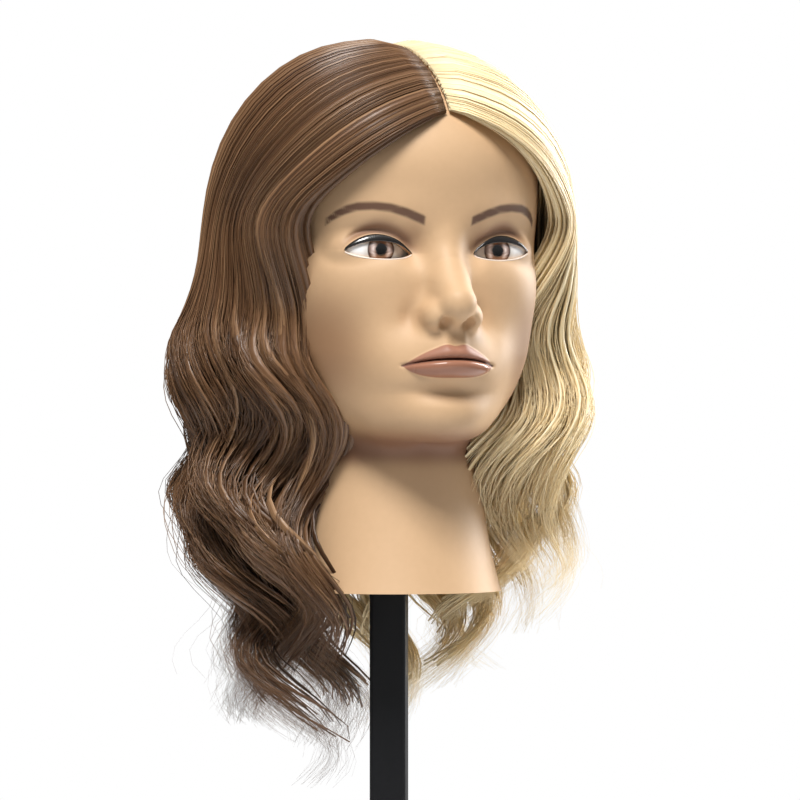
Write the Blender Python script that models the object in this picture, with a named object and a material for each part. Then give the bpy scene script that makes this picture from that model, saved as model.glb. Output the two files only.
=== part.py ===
"""Mannequin training head on a table-clamp post.

The vinyl head turns on a round peg at the top of a square steel post. The post stands on the upper
jaw of a screw clamp. Metres, +Z up. The origin is the point of the upper jaw's seat under the post,
on the table top. The clamp's throat opens towards +Y and the head looks towards -Y, turned by
HEAD_TURN towards +X. Head shapes are given in the head's own frame, whose origin is on the post's
axis at the bottom rim of the neck.
"""
import math

import bmesh
import bpy
import numpy as np
from mathutils import Matrix, Vector

MM = 0.001
GAP = 0.3 * MM  # between pieces that touch
ROUND_STEPS = 24  # sides of a turned piece

# Clamp
JAW_WIDTH = 38 * MM
BAR_THICKNESS = 6 * MM
SPINE_INNER_Y = -24 * MM
JAW_END_Y = 46 * MM
LOWER_JAW_DEPTH = 72 * MM  # table side of the lower jaw, below the seat
SEAT_PAD_THICKNESS = 3 * MM
FRAME_EDGE = 1.5 * MM

# Clamp screw
SCREW_Y = 16 * MM
SCREW_RADIUS = 6 * MM
SCREW_LENGTH = 96 * MM
SCREW_CLEARANCE = 0.4 * MM
NUT_RADIUS = 12 * MM
NUT_LENGTH = 20 * MM
NUT_FLANGE_RADIUS = 15 * MM
NUT_FLANGE_THICKNESS = 3 * MM
GRIP_DEPTH = 32 * MM  # thickness of the table that the clamp is closed on
PRESSURE_PAD_RADIUS = 15 * MM
PRESSURE_PAD_THICKNESS = 5 * MM
PRESSURE_RUBBER_THICKNESS = 2.5 * MM
SCREW_TIP_RADIUS = 4 * MM
SCREW_TIP_LENGTH = 3 * MM
HUB_RADIUS = 9 * MM
HUB_LENGTH = 18 * MM
BAR_RADIUS = 3.5 * MM
BAR_LENGTH = 96 * MM
BAR_CLEARANCE = 0.35 * MM
KNOB_RADIUS = 7 * MM
KNOB_LENGTH = 12 * MM

# Post
POST_SIDE = 19 * MM
POST_WALL = 1.5 * MM
POST_CORNER = 2 * MM
POST_VISIBLE = 152 * MM  # from the foot plate to the rim of the neck
FOOT_LENGTH = 52 * MM
FOOT_THICKNESS = 4 * MM
FOOT_SCREW_RADIUS = 2.5 * MM
FOOT_SCREW_HEAD_RADIUS = 4.2 * MM
FOOT_SCREW_HEAD_HEIGHT = 5 * MM
FOOT_SCREW_X = 13 * MM
FOOT_SCREW_Y = 19 * MM
FOOT_SCREW_REACH = 9 * MM

# Peg and socket
PEG_RADIUS = 11 * MM
PEG_LENGTH = 62 * MM
PEG_CLEARANCE = 0.4 * MM
PEG_SHOULDER_RADIUS = 16 * MM
PEG_SHOULDER_THICKNESS = 3 * MM
SHANK_LENGTH = 28 * MM
SHANK_CLEARANCE = 0.35 * MM
WASHER_THICKNESS = 1.5 * MM
O_RING_RADIUS = 1.6 * MM
O_RING_HEIGHTS = (14 * MM, 46 * MM)
O_RING_ROOM = 0.2 * MM
SOCKET_WALL = 3 * MM
SOCKET_ROOF = 3 * MM
SOCKET_HEADROOM = 3 * MM
SOCKET_FLANGE_RADIUS = 27 * MM
SOCKET_FLANGE_THICKNESS = 3 * MM
SOCKET_SCREW_CIRCLE = 22 * MM
SOCKET_SCREW_RADIUS = 1.8 * MM
SOCKET_SCREW_HEAD_RADIUS = 3.2 * MM
SOCKET_SCREW_HEAD_HEIGHT = 2.2 * MM
SOCKET_SCREWS = 3
NECK_RECESS = 12 * MM  # from the rim of the neck up to the neck plate
NECK_PLATE_THICKNESS = 5 * MM

# Head, in its own frame
HEAD_TURN = math.radians(26)
SHELL_WALL = 4 * MM
SHELL_GRID = (34, 34)  # rings and columns of the skin
CORE_GRID = (20, 24)
SOCKET_STRETCH = 2.5  # the foam is open in front of each eye, this many times the eye's own depth
SKULL_CENTRE = (0, 2 * MM, 207 * MM)
SKULL_RADII = (73.5 * MM, 88 * MM, 76 * MM)
FACE_CENTRE = (0, -28 * MM, 156 * MM)
FACE_RADII = (61.5 * MM, 54 * MM, 76 * MM)
NECK_RADIUS = 47 * MM
NECK_FLARE = 10 * MM
NECK_FLARE_HEIGHT = 90 * MM
EYE_CENTRE = (32 * MM, -57.5 * MM, 176.5 * MM)
EYE_RADII = (22.5 * MM, 15.2 * MM, 12.9 * MM)
LID_THICKNESS = 1.5 * MM
EYE_OPENING = (16.5 * MM, 4.8 * MM)  # half width and half height of the gap between the lids
EYE_OPENING_OFFSET = (1.7 * MM, -0.5 * MM)  # outward and up from the eye's centre
EYE_OPENING_STEPS = 16
LASH_RADIUS = 0.6 * MM
EAR_CENTRE = (72 * MM, 12 * MM, 164 * MM)
EAR_RADII = (9 * MM, 14 * MM, 27 * MM)
EAR_ROOM = (4 * MM, 12 * MM, 24 * MM)  # hair is kept this much further out round the ear

# Hair, measured outwards from the vinyl
HAIR_CLEARANCE = 1.5 * MM
PANEL_CLEARANCE = 3 * MM
HAIR_AT_PART = 7 * MM
HAIR_AT_SIDE = 21 * MM
PART_FRONT = math.radians(58)  # tilt of the parting's front end from the top of the skull
PART_BACK = math.radians(-62)
PART_GAP = 0.02  # share of a comb line left bare at the parting
FALL_FRONT = math.radians(56)  # where the hair leaves the skull, from the face round to the back
FALL_SPLIT = math.radians(118)
FALL_BACK = math.radians(178)
FALL_REACH = {"brown": 126 * MM, "blonde": 112 * MM}  # widest distance of the hair from the post's axis
FALL_SIDE_END = {"brown": -55 * MM, "blonde": -12 * MM}
FALL_BACK_END = {"brown": -90 * MM, "blonde": -72 * MM}
FALL_INNER = 62 * MM
FALL_WIDEST = 80 * MM
FALL_END_REACH = 88 * MM
SKULL_WIDEST = SKULL_CENTRE[2]

ARM_BOTTOM = SEAT_PAD_THICKNESS + GAP
ARM_TOP = ARM_BOTTOM + BAR_THICKNESS
FOOT_BOTTOM = ARM_TOP + GAP
FOOT_TOP = FOOT_BOTTOM + FOOT_THICKNESS
NECK_BASE = FOOT_TOP + POST_VISIBLE
PLATE_BOTTOM = NECK_BASE + NECK_RECESS
FLANGE_BOTTOM = PLATE_BOTTOM - GAP - SOCKET_FLANGE_THICKNESS
WASHER_BOTTOM = FLANGE_BOTTOM - GAP - WASHER_THICKNESS
PEG_BASE = WASHER_BOTTOM - GAP
POST_TOP = PEG_BASE - PEG_SHOULDER_THICKNESS - GAP
SOCKET_RADIUS = PEG_RADIUS + PEG_CLEARANCE
SOCKET_TOP = PEG_BASE + PEG_LENGTH + SOCKET_HEADROOM
LOWER_ARM_TOP = -LOWER_JAW_DEPTH
LOWER_ARM_BOTTOM = LOWER_ARM_TOP - BAR_THICKNESS
RUBBER_TOP = -GRIP_DEPTH
DISC_TOP = RUBBER_TOP - PRESSURE_RUBBER_THICKNESS - GAP
DISC_BOTTOM = DISC_TOP - PRESSURE_PAD_THICKNESS
SCREW_TOP = DISC_BOTTOM - GAP
HUB_TOP = SCREW_TOP - SCREW_LENGTH
BAR_HEIGHT = HUB_TOP - HUB_LENGTH / 2

for old in list(bpy.data.objects):
    bpy.data.objects.remove(old)

WORLD = bpy.context.scene.collection
HEAD_PIVOT = bpy.data.objects.new("head_pivot", None)
HEAD_PIVOT.location = (0, 0, NECK_BASE)
HEAD_PIVOT.rotation_euler = (0, 0, HEAD_TURN)
WORLD.objects.link(HEAD_PIVOT)


# Materials and objects

def finish(name, colour, roughness, metallic=0.0):
    material = bpy.data.materials.new(name)
    material.use_nodes = True
    shader = material.node_tree.nodes["Principled BSDF"]
    shader.inputs["Base Color"].default_value = (*colour, 1)
    shader.inputs["Roughness"].default_value = roughness
    shader.inputs["Metallic"].default_value = metallic
    return material


BLACK_STEEL = finish("black_steel", (0.012, 0.012, 0.015), 0.4, 0.3)
ZINC = finish("zinc", (0.55, 0.55, 0.56), 0.35, 1.0)
BLACK_PLASTIC = finish("black_plastic", (0.02, 0.02, 0.02), 0.5)
WHITE_PLASTIC = finish("white_plastic", (0.75, 0.75, 0.72), 0.5)
RUBBER = finish("rubber", (0.03, 0.03, 0.03), 0.8)
VINYL = finish("vinyl", (0.71, 0.49, 0.30), 0.5)
FOAM = finish("foam", (0.72, 0.62, 0.42), 0.95)
EYE_ACRYLIC = finish("eye_acrylic", (0.85, 0.83, 0.80), 0.1)
LASH_BLACK = finish("lash_black", (0.01, 0.01, 0.01), 0.3)
HAIR_COLOURS = {
    "brown": finish("brown_hair", (0.11, 0.05, 0.025), 0.45),
    "blonde": finish("blonde_hair", (0.75, 0.56, 0.30), 0.4),
}


def object_of(name, mesh, material, parent=None):
    thing = bpy.data.objects.new(name, mesh)
    mesh.materials.append(material)
    WORLD.objects.link(thing)
    thing.parent = parent
    return thing


def mesh_of(name, shape, sharp=30):
    """Blender mesh of a bmesh, with its faces out and its edges sharp past an angle in degrees."""
    bmesh.ops.recalc_face_normals(shape, faces=shape.faces)
    if shape.calc_volume(signed=True) < 0:
        bmesh.ops.reverse_faces(shape, faces=shape.faces)
    mesh = bpy.data.meshes.new(name)
    shape.to_mesh(mesh)
    shape.free()
    mesh.shade_smooth()
    mesh.set_sharp_from_angle(angle=math.radians(sharp))
    return mesh


def cutter(name, mesh, parent=None):
    thing = bpy.data.objects.new(name, mesh)
    thing.hide_render = True
    thing.display_type = "WIRE"
    WORLD.objects.link(thing)
    thing.parent = parent
    return thing


def cut(thing, *tools):
    for tool in tools:
        step = thing.modifiers.new(tool.name, "BOOLEAN")
        step.operation = "DIFFERENCE"
        step.object = tool


def turned(name, profile, steps=ROUND_STEPS):
    """A shape turned about Z from (radius, height) points; a first and last radius of 0 close it."""
    shape = bmesh.new()
    line = [shape.verts.new((radius, 0, height)) for radius, height in profile]
    closed = profile[0][0] > 0
    ends = line + line[:1] if closed else line
    edges = [shape.edges.new(pair) for pair in zip(ends, ends[1:])]
    bmesh.ops.spin(shape, geom=line + edges, axis=(0, 0, 1), cent=(0, 0, 0), angle=2 * math.pi,
                   steps=steps, use_merge=True)
    bmesh.ops.remove_doubles(shape, verts=shape.verts, dist=GAP / 10)
    return mesh_of(name, shape)


def rod_profile(radius, bottom, top, chamfer):
    return [(0, bottom), (radius - chamfer, bottom), (radius, bottom + chamfer),
            (radius, top - chamfer), (radius - chamfer, top), (0, top)]


def ring_profile(inner, outer, bottom, top):
    return [(inner, bottom), (outer, bottom), (outer, top), (inner, top)]


def block(name, low, high, bevel=0.0, only_upright=False, steps=2):
    """A box between two corners, its edges rounded by bevel."""
    shape = bmesh.new()
    bmesh.ops.create_cube(shape, size=1)
    middle = [(a + b) / 2 for a, b in zip(low, high)]
    size = [b - a for a, b in zip(low, high)]
    bmesh.ops.transform(shape, matrix=Matrix.LocRotScale(middle, None, size), verts=shape.verts)
    if bevel:
        edges = [e for e in shape.edges
                 if not only_upright or abs(e.verts[0].co.z - e.verts[1].co.z) > GAP]
        bmesh.ops.bevel(shape, geom=edges, offset=bevel, segments=steps, profile=0.5,
                        affect="EDGES", material=-1)
    return mesh_of(name, shape)


# Clamp: a C bent from flat bar, its seat pad and its screw

def clamp_frame():
    """The C outline in the YZ plane, extruded across X."""
    spine = SPINE_INNER_Y - BAR_THICKNESS
    outline = [(spine, LOWER_ARM_BOTTOM), (JAW_END_Y, LOWER_ARM_BOTTOM), (JAW_END_Y, LOWER_ARM_TOP),
               (SPINE_INNER_Y, LOWER_ARM_TOP), (SPINE_INNER_Y, ARM_BOTTOM), (JAW_END_Y, ARM_BOTTOM),
               (JAW_END_Y, ARM_TOP), (spine, ARM_TOP)]
    shape = bmesh.new()
    side = shape.faces.new([shape.verts.new((-JAW_WIDTH / 2, y, z)) for y, z in outline])
    pulled = bmesh.ops.extrude_face_region(shape, geom=[side])["geom"]
    bmesh.ops.translate(shape, vec=(JAW_WIDTH, 0, 0),
                        verts=[v for v in pulled if isinstance(v, bmesh.types.BMVert)])
    frame = object_of("clamp_frame", mesh_of("clamp_frame", shape), BLACK_STEEL)
    nut_hole = cutter("nut_hole", turned("nut_hole", rod_profile(
        NUT_RADIUS + GAP, LOWER_ARM_BOTTOM - BAR_THICKNESS, LOWER_ARM_TOP + BAR_THICKNESS, 0.1 * MM)))
    nut_hole.location = (0, SCREW_Y, 0)
    cut(frame, nut_hole)
    for x, y in foot_screw_places():
        hole = cutter("foot_screw_hole", turned("foot_screw_hole", rod_profile(
            FOOT_SCREW_RADIUS + GAP, ARM_BOTTOM - BAR_THICKNESS, ARM_TOP + BAR_THICKNESS, 0.1 * MM), 12))
        hole.location = (x, y, 0)
        cut(frame, hole)
    edges = frame.modifiers.new("edges", "BEVEL")
    edges.width = FRAME_EDGE
    edges.segments = 2
    edges.limit_method = "ANGLE"
    edges.angle_limit = math.radians(80)
    frame.modifiers.move(len(frame.modifiers) - 1, 0)


def clamp_pads():
    seat = block("seat_pad", (-JAW_WIDTH / 2, SPINE_INNER_Y + FRAME_EDGE, 0),
                 (JAW_WIDTH / 2, JAW_END_Y, SEAT_PAD_THICKNESS), 1.2 * MM, only_upright=True)
    object_of("seat_pad", seat, RUBBER)


def clamp_nut():
    inner = SCREW_RADIUS + SCREW_CLEARANCE
    top = LOWER_ARM_TOP + 2 * MM
    flange = LOWER_ARM_BOTTOM - GAP
    collar = flange - NUT_FLANGE_THICKNESS
    bottom = collar - NUT_LENGTH / 2
    profile = [(inner, bottom), (NUT_RADIUS, bottom), (NUT_RADIUS, collar), (NUT_FLANGE_RADIUS, collar),
               (NUT_FLANGE_RADIUS, flange), (NUT_RADIUS, flange), (NUT_RADIUS, top), (inner, top)]
    nut = object_of("screw_nut", turned("screw_nut", profile), ZINC)
    nut.location = (0, SCREW_Y, 0)


def clamp_screw():
    """Spindle with a stub that carries the pressure disc, and a cross-drilled hub for the bar."""
    tip = SCREW_TOP + SCREW_TIP_LENGTH
    hub_bottom = HUB_TOP - HUB_LENGTH
    profile = [(0, hub_bottom), (HUB_RADIUS - 1 * MM, hub_bottom), (HUB_RADIUS, hub_bottom + 1 * MM),
               (HUB_RADIUS, HUB_TOP - 1 * MM), (HUB_RADIUS - 1 * MM, HUB_TOP), (SCREW_RADIUS, HUB_TOP),
               (SCREW_RADIUS, SCREW_TOP), (SCREW_TIP_RADIUS, SCREW_TOP), (SCREW_TIP_RADIUS, tip), (0, tip)]
    spindle = object_of("spindle", turned("spindle", profile), ZINC)
    spindle.location = (0, SCREW_Y, 0)
    hole = cutter("bar_hole", turned("bar_hole", rod_profile(
        BAR_RADIUS + BAR_CLEARANCE, -2 * HUB_RADIUS, 2 * HUB_RADIUS, 0.1 * MM), 16))
    hole.location = (0, SCREW_Y, BAR_HEIGHT)
    hole.rotation_euler = (0, math.pi / 2, 0)
    cut(spindle, hole)
    disc = turned("pressure_disc", [
        (SCREW_TIP_RADIUS + SCREW_CLEARANCE, DISC_BOTTOM), (PRESSURE_PAD_RADIUS - 1 * MM, DISC_BOTTOM),
        (PRESSURE_PAD_RADIUS, DISC_BOTTOM + 1 * MM), (PRESSURE_PAD_RADIUS, DISC_TOP),
        (SCREW_TIP_RADIUS + SCREW_CLEARANCE, DISC_TOP)])
    object_of("pressure_disc", disc, ZINC).location = (0, SCREW_Y, 0)
    rubber = turned("pressure_rubber", rod_profile(
        PRESSURE_PAD_RADIUS - 0.5 * MM, RUBBER_TOP - PRESSURE_RUBBER_THICKNESS, RUBBER_TOP, 0.4 * MM))
    object_of("pressure_rubber", rubber, RUBBER).location = (0, SCREW_Y, 0)


def tommy_bar():
    rod = object_of("tommy_bar", turned("tommy_bar", rod_profile(
        BAR_RADIUS, -BAR_LENGTH / 2, BAR_LENGTH / 2, 0.5 * MM), 16), ZINC)
    rod.location = (0, SCREW_Y, BAR_HEIGHT)
    rod.rotation_euler = (0, math.pi / 2, 0)
    hole_depth = KNOB_LENGTH * 0.7
    knob = turned("bar_knob", [
        (0, KNOB_LENGTH), (KNOB_RADIUS * 0.6, KNOB_LENGTH), (KNOB_RADIUS, KNOB_LENGTH * 0.7),
        (KNOB_RADIUS, KNOB_LENGTH * 0.25), (KNOB_RADIUS * 0.75, 0), (BAR_RADIUS + GAP, 0),
        (BAR_RADIUS + GAP, hole_depth), (0, hole_depth)], 16)
    for name, side in (("bar_knob_left", 1), ("bar_knob_right", -1)):
        end = object_of(name, knob.copy(), BLACK_PLASTIC)
        end.location = (side * (BAR_LENGTH / 2 - hole_depth + GAP), SCREW_Y, BAR_HEIGHT)
        end.rotation_euler = (0, side * math.pi / 2, 0)


# Post: foot plate, four screws, square tube, and the peg that the head turns on

def foot_screw_places():
    return [(x * FOOT_SCREW_X, y * FOOT_SCREW_Y) for x in (-1, 1) for y in (-1, 1)]


def post_foot():
    plate = block("post_foot", (-JAW_WIDTH / 2, -FOOT_LENGTH / 2, FOOT_BOTTOM),
                  (JAW_WIDTH / 2, FOOT_LENGTH / 2, FOOT_TOP), 3 * MM, only_upright=True)
    plate = object_of("post_foot", plate, BLACK_STEEL)
    for number, (x, y) in enumerate(foot_screw_places(), 1):
        hole = cutter("foot_plate_hole", turned("foot_plate_hole", rod_profile(
            FOOT_SCREW_RADIUS + GAP, FOOT_BOTTOM - FOOT_THICKNESS, FOOT_TOP + FOOT_THICKNESS,
            0.1 * MM), 12))
        hole.location = (x, y, 0)
        cut(plate, hole)
        head = FOOT_TOP + GAP
        top = head + FOOT_SCREW_HEAD_HEIGHT
        profile = [(0, head - FOOT_SCREW_REACH), (FOOT_SCREW_RADIUS, head - FOOT_SCREW_REACH),
                   (FOOT_SCREW_RADIUS, head), (FOOT_SCREW_HEAD_RADIUS, head),
                   (FOOT_SCREW_HEAD_RADIUS, top), (FOOT_SCREW_HEAD_RADIUS / 2, top),
                   (FOOT_SCREW_HEAD_RADIUS / 2, top - FOOT_SCREW_HEAD_HEIGHT / 2),
                   (0, top - FOOT_SCREW_HEAD_HEIGHT / 2)]
        screw = object_of(f"foot_screw_{number}", turned("foot_screw", profile, 12), ZINC)
        screw.location = (x, y, 0)


def post_tube():
    half = POST_SIDE / 2
    bottom = FOOT_TOP + GAP
    tube = block("post_tube", (-half, -half, bottom), (half, half, POST_TOP), POST_CORNER,
                 only_upright=True, steps=3)
    tube = object_of("post_tube", tube, BLACK_STEEL)
    inside = half - POST_WALL
    hollow = block("post_hollow", (-inside, -inside, bottom - POST_WALL),
                   (inside, inside, POST_TOP + POST_WALL))
    cut(tube, cutter("post_hollow", hollow))


def peg():
    """Moulded peg: a square shank in the tube, a shoulder on its end and a round stem with ring grooves."""
    top = PEG_BASE + PEG_LENGTH
    groove = PEG_RADIUS + PEG_CLEARANCE - O_RING_ROOM - 2 * O_RING_RADIUS - GAP
    bottom = PEG_BASE - PEG_SHOULDER_THICKNESS
    profile = [(0, bottom), (PEG_SHOULDER_RADIUS, bottom), (PEG_SHOULDER_RADIUS, PEG_BASE),
               (PEG_RADIUS, PEG_BASE)]
    for height in O_RING_HEIGHTS:
        low = PEG_BASE + height - O_RING_RADIUS - GAP
        high = PEG_BASE + height + O_RING_RADIUS + GAP
        profile += [(PEG_RADIUS, low), (groove, low), (groove, high), (PEG_RADIUS, high)]
    profile += [(PEG_RADIUS, top - 4 * MM), (PEG_RADIUS - 3 * MM, top), (0, top)]
    stem = object_of("peg", turned("peg", profile), BLACK_PLASTIC)
    half = POST_SIDE / 2 - POST_WALL - SHANK_CLEARANCE
    shank = block("peg_shank", (-half, -half, POST_TOP - SHANK_LENGTH),
                  (half, half, PEG_BASE - PEG_SHOULDER_THICKNESS / 2), 1 * MM, only_upright=True)
    step = stem.modifiers.new("shank", "BOOLEAN")
    step.operation = "UNION"
    step.object = cutter("peg_shank", shank)
    bore = SOCKET_RADIUS - O_RING_ROOM - O_RING_RADIUS
    for name, height in zip(("lower_o_ring", "upper_o_ring"), O_RING_HEIGHTS):
        section = [(bore + O_RING_RADIUS * math.cos(a), PEG_BASE + height + O_RING_RADIUS * math.sin(a))
                   for a in np.linspace(0, 2 * math.pi, 6, endpoint=False)]
        object_of(name, turned(name, section), RUBBER)
    washer = turned("thrust_washer", ring_profile(PEG_RADIUS + PEG_CLEARANCE, PEG_SHOULDER_RADIUS,
                                                  WASHER_BOTTOM, WASHER_BOTTOM + WASHER_THICKNESS))
    object_of("thrust_washer", washer, WHITE_PLASTIC)


# Head form: distance fields of rounded lumps, in metres in the head's own frame

def mm(*values):
    return np.array(values) * MM


def blend_in(a, b, soft):
    """Union of two fields, with a fillet of about soft in the corner."""
    share = np.clip(0.5 + 0.5 * (b - a) / soft, 0, 1)
    return b + (a - b) * share - soft * share * (1 - share)


def carve_out(a, b, soft):
    return -blend_in(-a, b, soft)


def lump(p, centre, radii):
    q = p - np.array(centre)
    near = np.linalg.norm(q / np.array(radii), axis=-1)
    slope = np.linalg.norm(q / np.array(radii) ** 2, axis=-1) + 1e-9
    return near * (near - 1) / slope


def limb(p, a, b, radius_a, radius_b):
    along = np.clip((p - a) @ (b - a) / ((b - a) @ (b - a)), 0, 1)
    reach = np.linalg.norm(p - a - along[..., None] * (b - a), axis=-1)
    return reach - radius_a - (radius_b - radius_a) * along


def bell(offset, width):
    return np.exp(-(offset / (width * MM)) ** 2)


def ease(value, low, high):
    share = np.clip((value - low) / (high - low), 0, 1)
    return share * share * (3 - 2 * share)


def folded(p):
    """The same points with X folded to one side, because the head is the same on both."""
    return np.concatenate([np.abs(p[..., :1]), p[..., 1:]], axis=-1)


def neck_field(p):
    up = np.clip(p[..., 2] / NECK_FLARE_HEIGHT, 0, 1)
    half = NECK_RADIUS + NECK_FLARE * (1 - up) ** 2.2
    y = p[..., 1] - 8 * MM * (up - 0.5)
    side = (np.sqrt((p[..., 0] / half) ** 2 + (y / (half + 2 * MM)) ** 2) - 1) * half
    return np.maximum(side, p[..., 2] - 1.45 * NECK_FLARE_HEIGHT)


def hollows(x, z):
    """Depth of the broad hollows of the face: forehead, sockets and the fold above the chin."""
    deep = 5.5 * bell(z - 198 * MM, 24) * (0.25 + 0.75 * ease(x, 56 * MM, 28 * MM))
    deep = deep + 4.5 * bell(x - 32 * MM, 18) * bell(z - 181 * MM, 9)
    deep = deep + 5.0 * bell(x - 16 * MM, 7) * bell(z - 176 * MM, 9)
    deep = deep + 2.0 * bell(x - 50 * MM, 8) * bell(z - 175 * MM, 8)
    deep = deep + 3.4 * bell(x, 20) * bell(z - 103.5 * MM, 5)
    deep = deep - 4.0 * bell(x, 13) * bell(z - 126 * MM, 14)  # the teeth push the mouth forward
    return deep * MM


def bare_field(p):
    """Braincase, face and neck with their broad hollows. The foam core is an inset of it."""
    p = folded(p)
    d = blend_in(lump(p, SKULL_CENTRE, SKULL_RADII), lump(p, mm(0, -36, 212), mm(57, 52.5, 48)), 26 * MM)
    d = blend_in(d, lump(p, FACE_CENTRE, FACE_RADII), 24 * MM)
    d = blend_in(d, lump(p, mm(34, -38, 128), mm(23, 25, 26)), 20 * MM)  # cheek
    d = blend_in(d, limb(p, mm(40, -18, 112), mm(20, -54, 96), 14 * MM, 16 * MM), 20 * MM)  # jaw
    d = blend_in(d, lump(p, mm(0, -70, 93.5), mm(23, 19, 15.5)), 14 * MM)  # chin
    d = blend_in(d, lump(p, mm(0, -64, 122), mm(36, 27, 27)), 16 * MM)  # mouth
    d = blend_in(d, lump(p, mm(34, -46, 158), mm(22, 24, 20)), 20 * MM)  # cheekbone
    d = blend_in(d, neck_field(p), 14 * MM)
    return d + hollows(p[..., 0], p[..., 2]) * ease(p[..., 1], -30 * MM, -60 * MM)


def lips(x, z):
    """Height of the lips: two swellings either side of a parting that falls towards the corners."""
    out = np.clip(x / (24.5 * MM), 0, 1)
    parting = (120.4 - 3.4 * out ** 2.2) * MM
    full = (1 - out ** 2) * ease(x, 25 * MM, 19 * MM)
    return full * (3.4 * bell(z - parting - 3.2 * MM, 3) + 3.6 * bell(z - parting + 4 * MM, 3.6)) * MM


def nose_field(p):
    d = limb(p, mm(0, -70, 196), mm(0, -84, 168), 8.5 * MM, 6 * MM)
    d = blend_in(d, limb(p, mm(0, -84, 168), mm(0, -98, 149), 6 * MM, 9.4 * MM), 7 * MM)
    d = blend_in(d, limb(p, mm(2, -86, 158), mm(5.5, -84, 145), 8 * MM, 6.8 * MM), 7 * MM)
    return blend_in(d, lump(p, mm(10.4, -89.5, 142), mm(5.6, 8, 6.8)), 5 * MM)


def head_field(p):
    """The whole head: lips, lids, nose and ears on the bare form."""
    p = folded(p)
    d = bare_field(p) - lips(p[..., 0], p[..., 2]) * ease(p[..., 1], -60 * MM, -75 * MM)
    d = blend_in(d, lump(p, EYE_CENTRE, np.array(EYE_RADII) + LID_THICKNESS), 3.5 * MM)
    d = blend_in(d, nose_field(p), 6 * MM)
    bowl = lump(p, np.array(EAR_CENTRE) + mm(9, -2, 3), np.array(EAR_RADII) * (0.7, 0.62, 0.62))
    ear = carve_out(lump(p, EAR_CENTRE, EAR_RADII), bowl, 3 * MM)
    return blend_in(d, ear, 5 * MM)


def covered_field(p):
    """The head with a wide swelling over each ear, for the hair that hangs past it."""
    folded = np.concatenate([np.abs(p[..., :1]), p[..., 1:]], axis=-1)
    return np.minimum(head_field(p), lump(folded, EAR_CENTRE, np.array(EAR_RADII) + EAR_ROOM))


def pushed_out(field, start, direction, level=0.0):
    """Where rays from start reach the outermost surface of field = level."""
    away = np.full(start.shape[:-1], 160 * MM)
    for _ in range(70):
        away = np.maximum(away - 0.7 * (field(start + direction * away[..., None]) - level), 2 * MM)
    return start + direction * away[..., None]


def head_ray(round_angle, down):
    """A ray from the post's axis: over the crown, level across the face, fanned down under the chin."""
    brow, mouth, throat = 190 * MM, 126 * MM, 116 * MM
    if down < 0.25:
        lift = (1 - down / 0.25) * math.pi / 2
        height, level, rise = brow, math.cos(lift), math.sin(lift)
    elif down < 0.60:
        height, level, rise = brow + (mouth - brow) * (down - 0.25) / 0.35, 1, 0
    elif down < 0.84:
        share = (down - 0.60) / 0.24
        height, level, rise = mouth + (throat - mouth) * share, 1, -share
    else:
        share = (1 - down) / 0.16
        height, level, rise = throat * share, 1, -share
    long = math.hypot(level, rise)
    return ((0, 0, height), (level * math.sin(round_angle) / long, -level * math.cos(round_angle) / long,
                             rise / long))


def skin_of(name, field, rings, around, level=0.0, below=0.0):
    """A ball whose rings are pushed out to the head's surface. Its lowest ring is the neck's rim.

    With below it has one more ring, straight under the rim by that length."""
    levels = rings + (1 if below else 0)
    shape = bmesh.new()
    bmesh.ops.create_uvsphere(shape, u_segments=around, v_segments=levels + 1, radius=1)
    corners = list(shape.verts)
    rows = [round(math.acos(max(-1, min(1, v.co.z))) / math.pi * (levels + 1)) for v in corners]
    starts, ways = [], []
    for vert, row in zip(corners, rows):
        turn = math.atan2(vert.co.x, -vert.co.y)
        bunched = 0.62 * turn + 0.38 * turn ** 3 / math.pi ** 2  # more columns on the face
        start, way = head_ray(bunched, min(row, rings) / rings)
        starts.append(start)
        ways.append(way)
    places = pushed_out(field, np.array(starts), np.array(ways), level)
    for vert, row, place in zip(corners, rows, places):
        if row > levels:
            place = (0, 0, 0)
        vert.co = (place[0], place[1], place[2] - (below if row > rings else 0))
    bmesh.ops.triangulate(shape, faces=shape.faces, quad_method="FIXED")
    return mesh_of(name, shape, 60)


def eye_opening(name):
    """Almond prism through the lids: two arcs that meet at the corners, the outer corner higher."""
    wide, high = EYE_OPENING
    shape = bmesh.new()
    corners = []
    for step in range(EYE_OPENING_STEPS):
        turn = 2 * math.pi * step / EYE_OPENING_STEPS
        across = wide * math.cos(turn)
        rise = high * math.copysign(abs(math.sin(turn)) ** 1.3, math.sin(turn)) + 0.07 * across
        place = (across + EYE_OPENING_OFFSET[0], -40 * MM, rise + EYE_OPENING_OFFSET[1])
        corners.append(shape.verts.new(place))
    almond = shape.faces.new(corners)
    pulled = bmesh.ops.extrude_face_region(shape, geom=[almond])["geom"]
    bmesh.ops.translate(shape, vec=(0, 40 * MM, 0),
                        verts=[v for v in pulled if isinstance(v, bmesh.types.BMVert)])
    return mesh_of(name, shape)


def eye_dome(name, grow=0.0, deep=0.0):
    """The front half of the eye's ellipsoid, flat behind."""
    shape = bmesh.new()
    bmesh.ops.create_uvsphere(shape, u_segments=16, v_segments=10, radius=1)
    bmesh.ops.rotate(shape, verts=shape.verts, cent=(0, 0, 0), matrix=Matrix.Rotation(math.pi / 2, 3, "X"))
    bmesh.ops.bisect_plane(shape, geom=shape.verts[:] + shape.edges[:] + shape.faces[:], plane_co=(0, 0, 0),
                           plane_no=(0, 1, 0), clear_outer=True)
    rim = [e for e in shape.edges if e.is_boundary]
    bmesh.ops.edgeloop_fill(shape, edges=rim)
    bmesh.ops.scale(shape, verts=shape.verts, vec=[r + grow for r in EYE_RADII])
    for vert in shape.verts:
        if vert.co.y > -GAP:
            vert.co.y = deep
    return mesh_of(name, shape, 50)


def eye_place(side):
    return (side * EYE_CENTRE[0], EYE_CENTRE[1], EYE_CENTRE[2])


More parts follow.
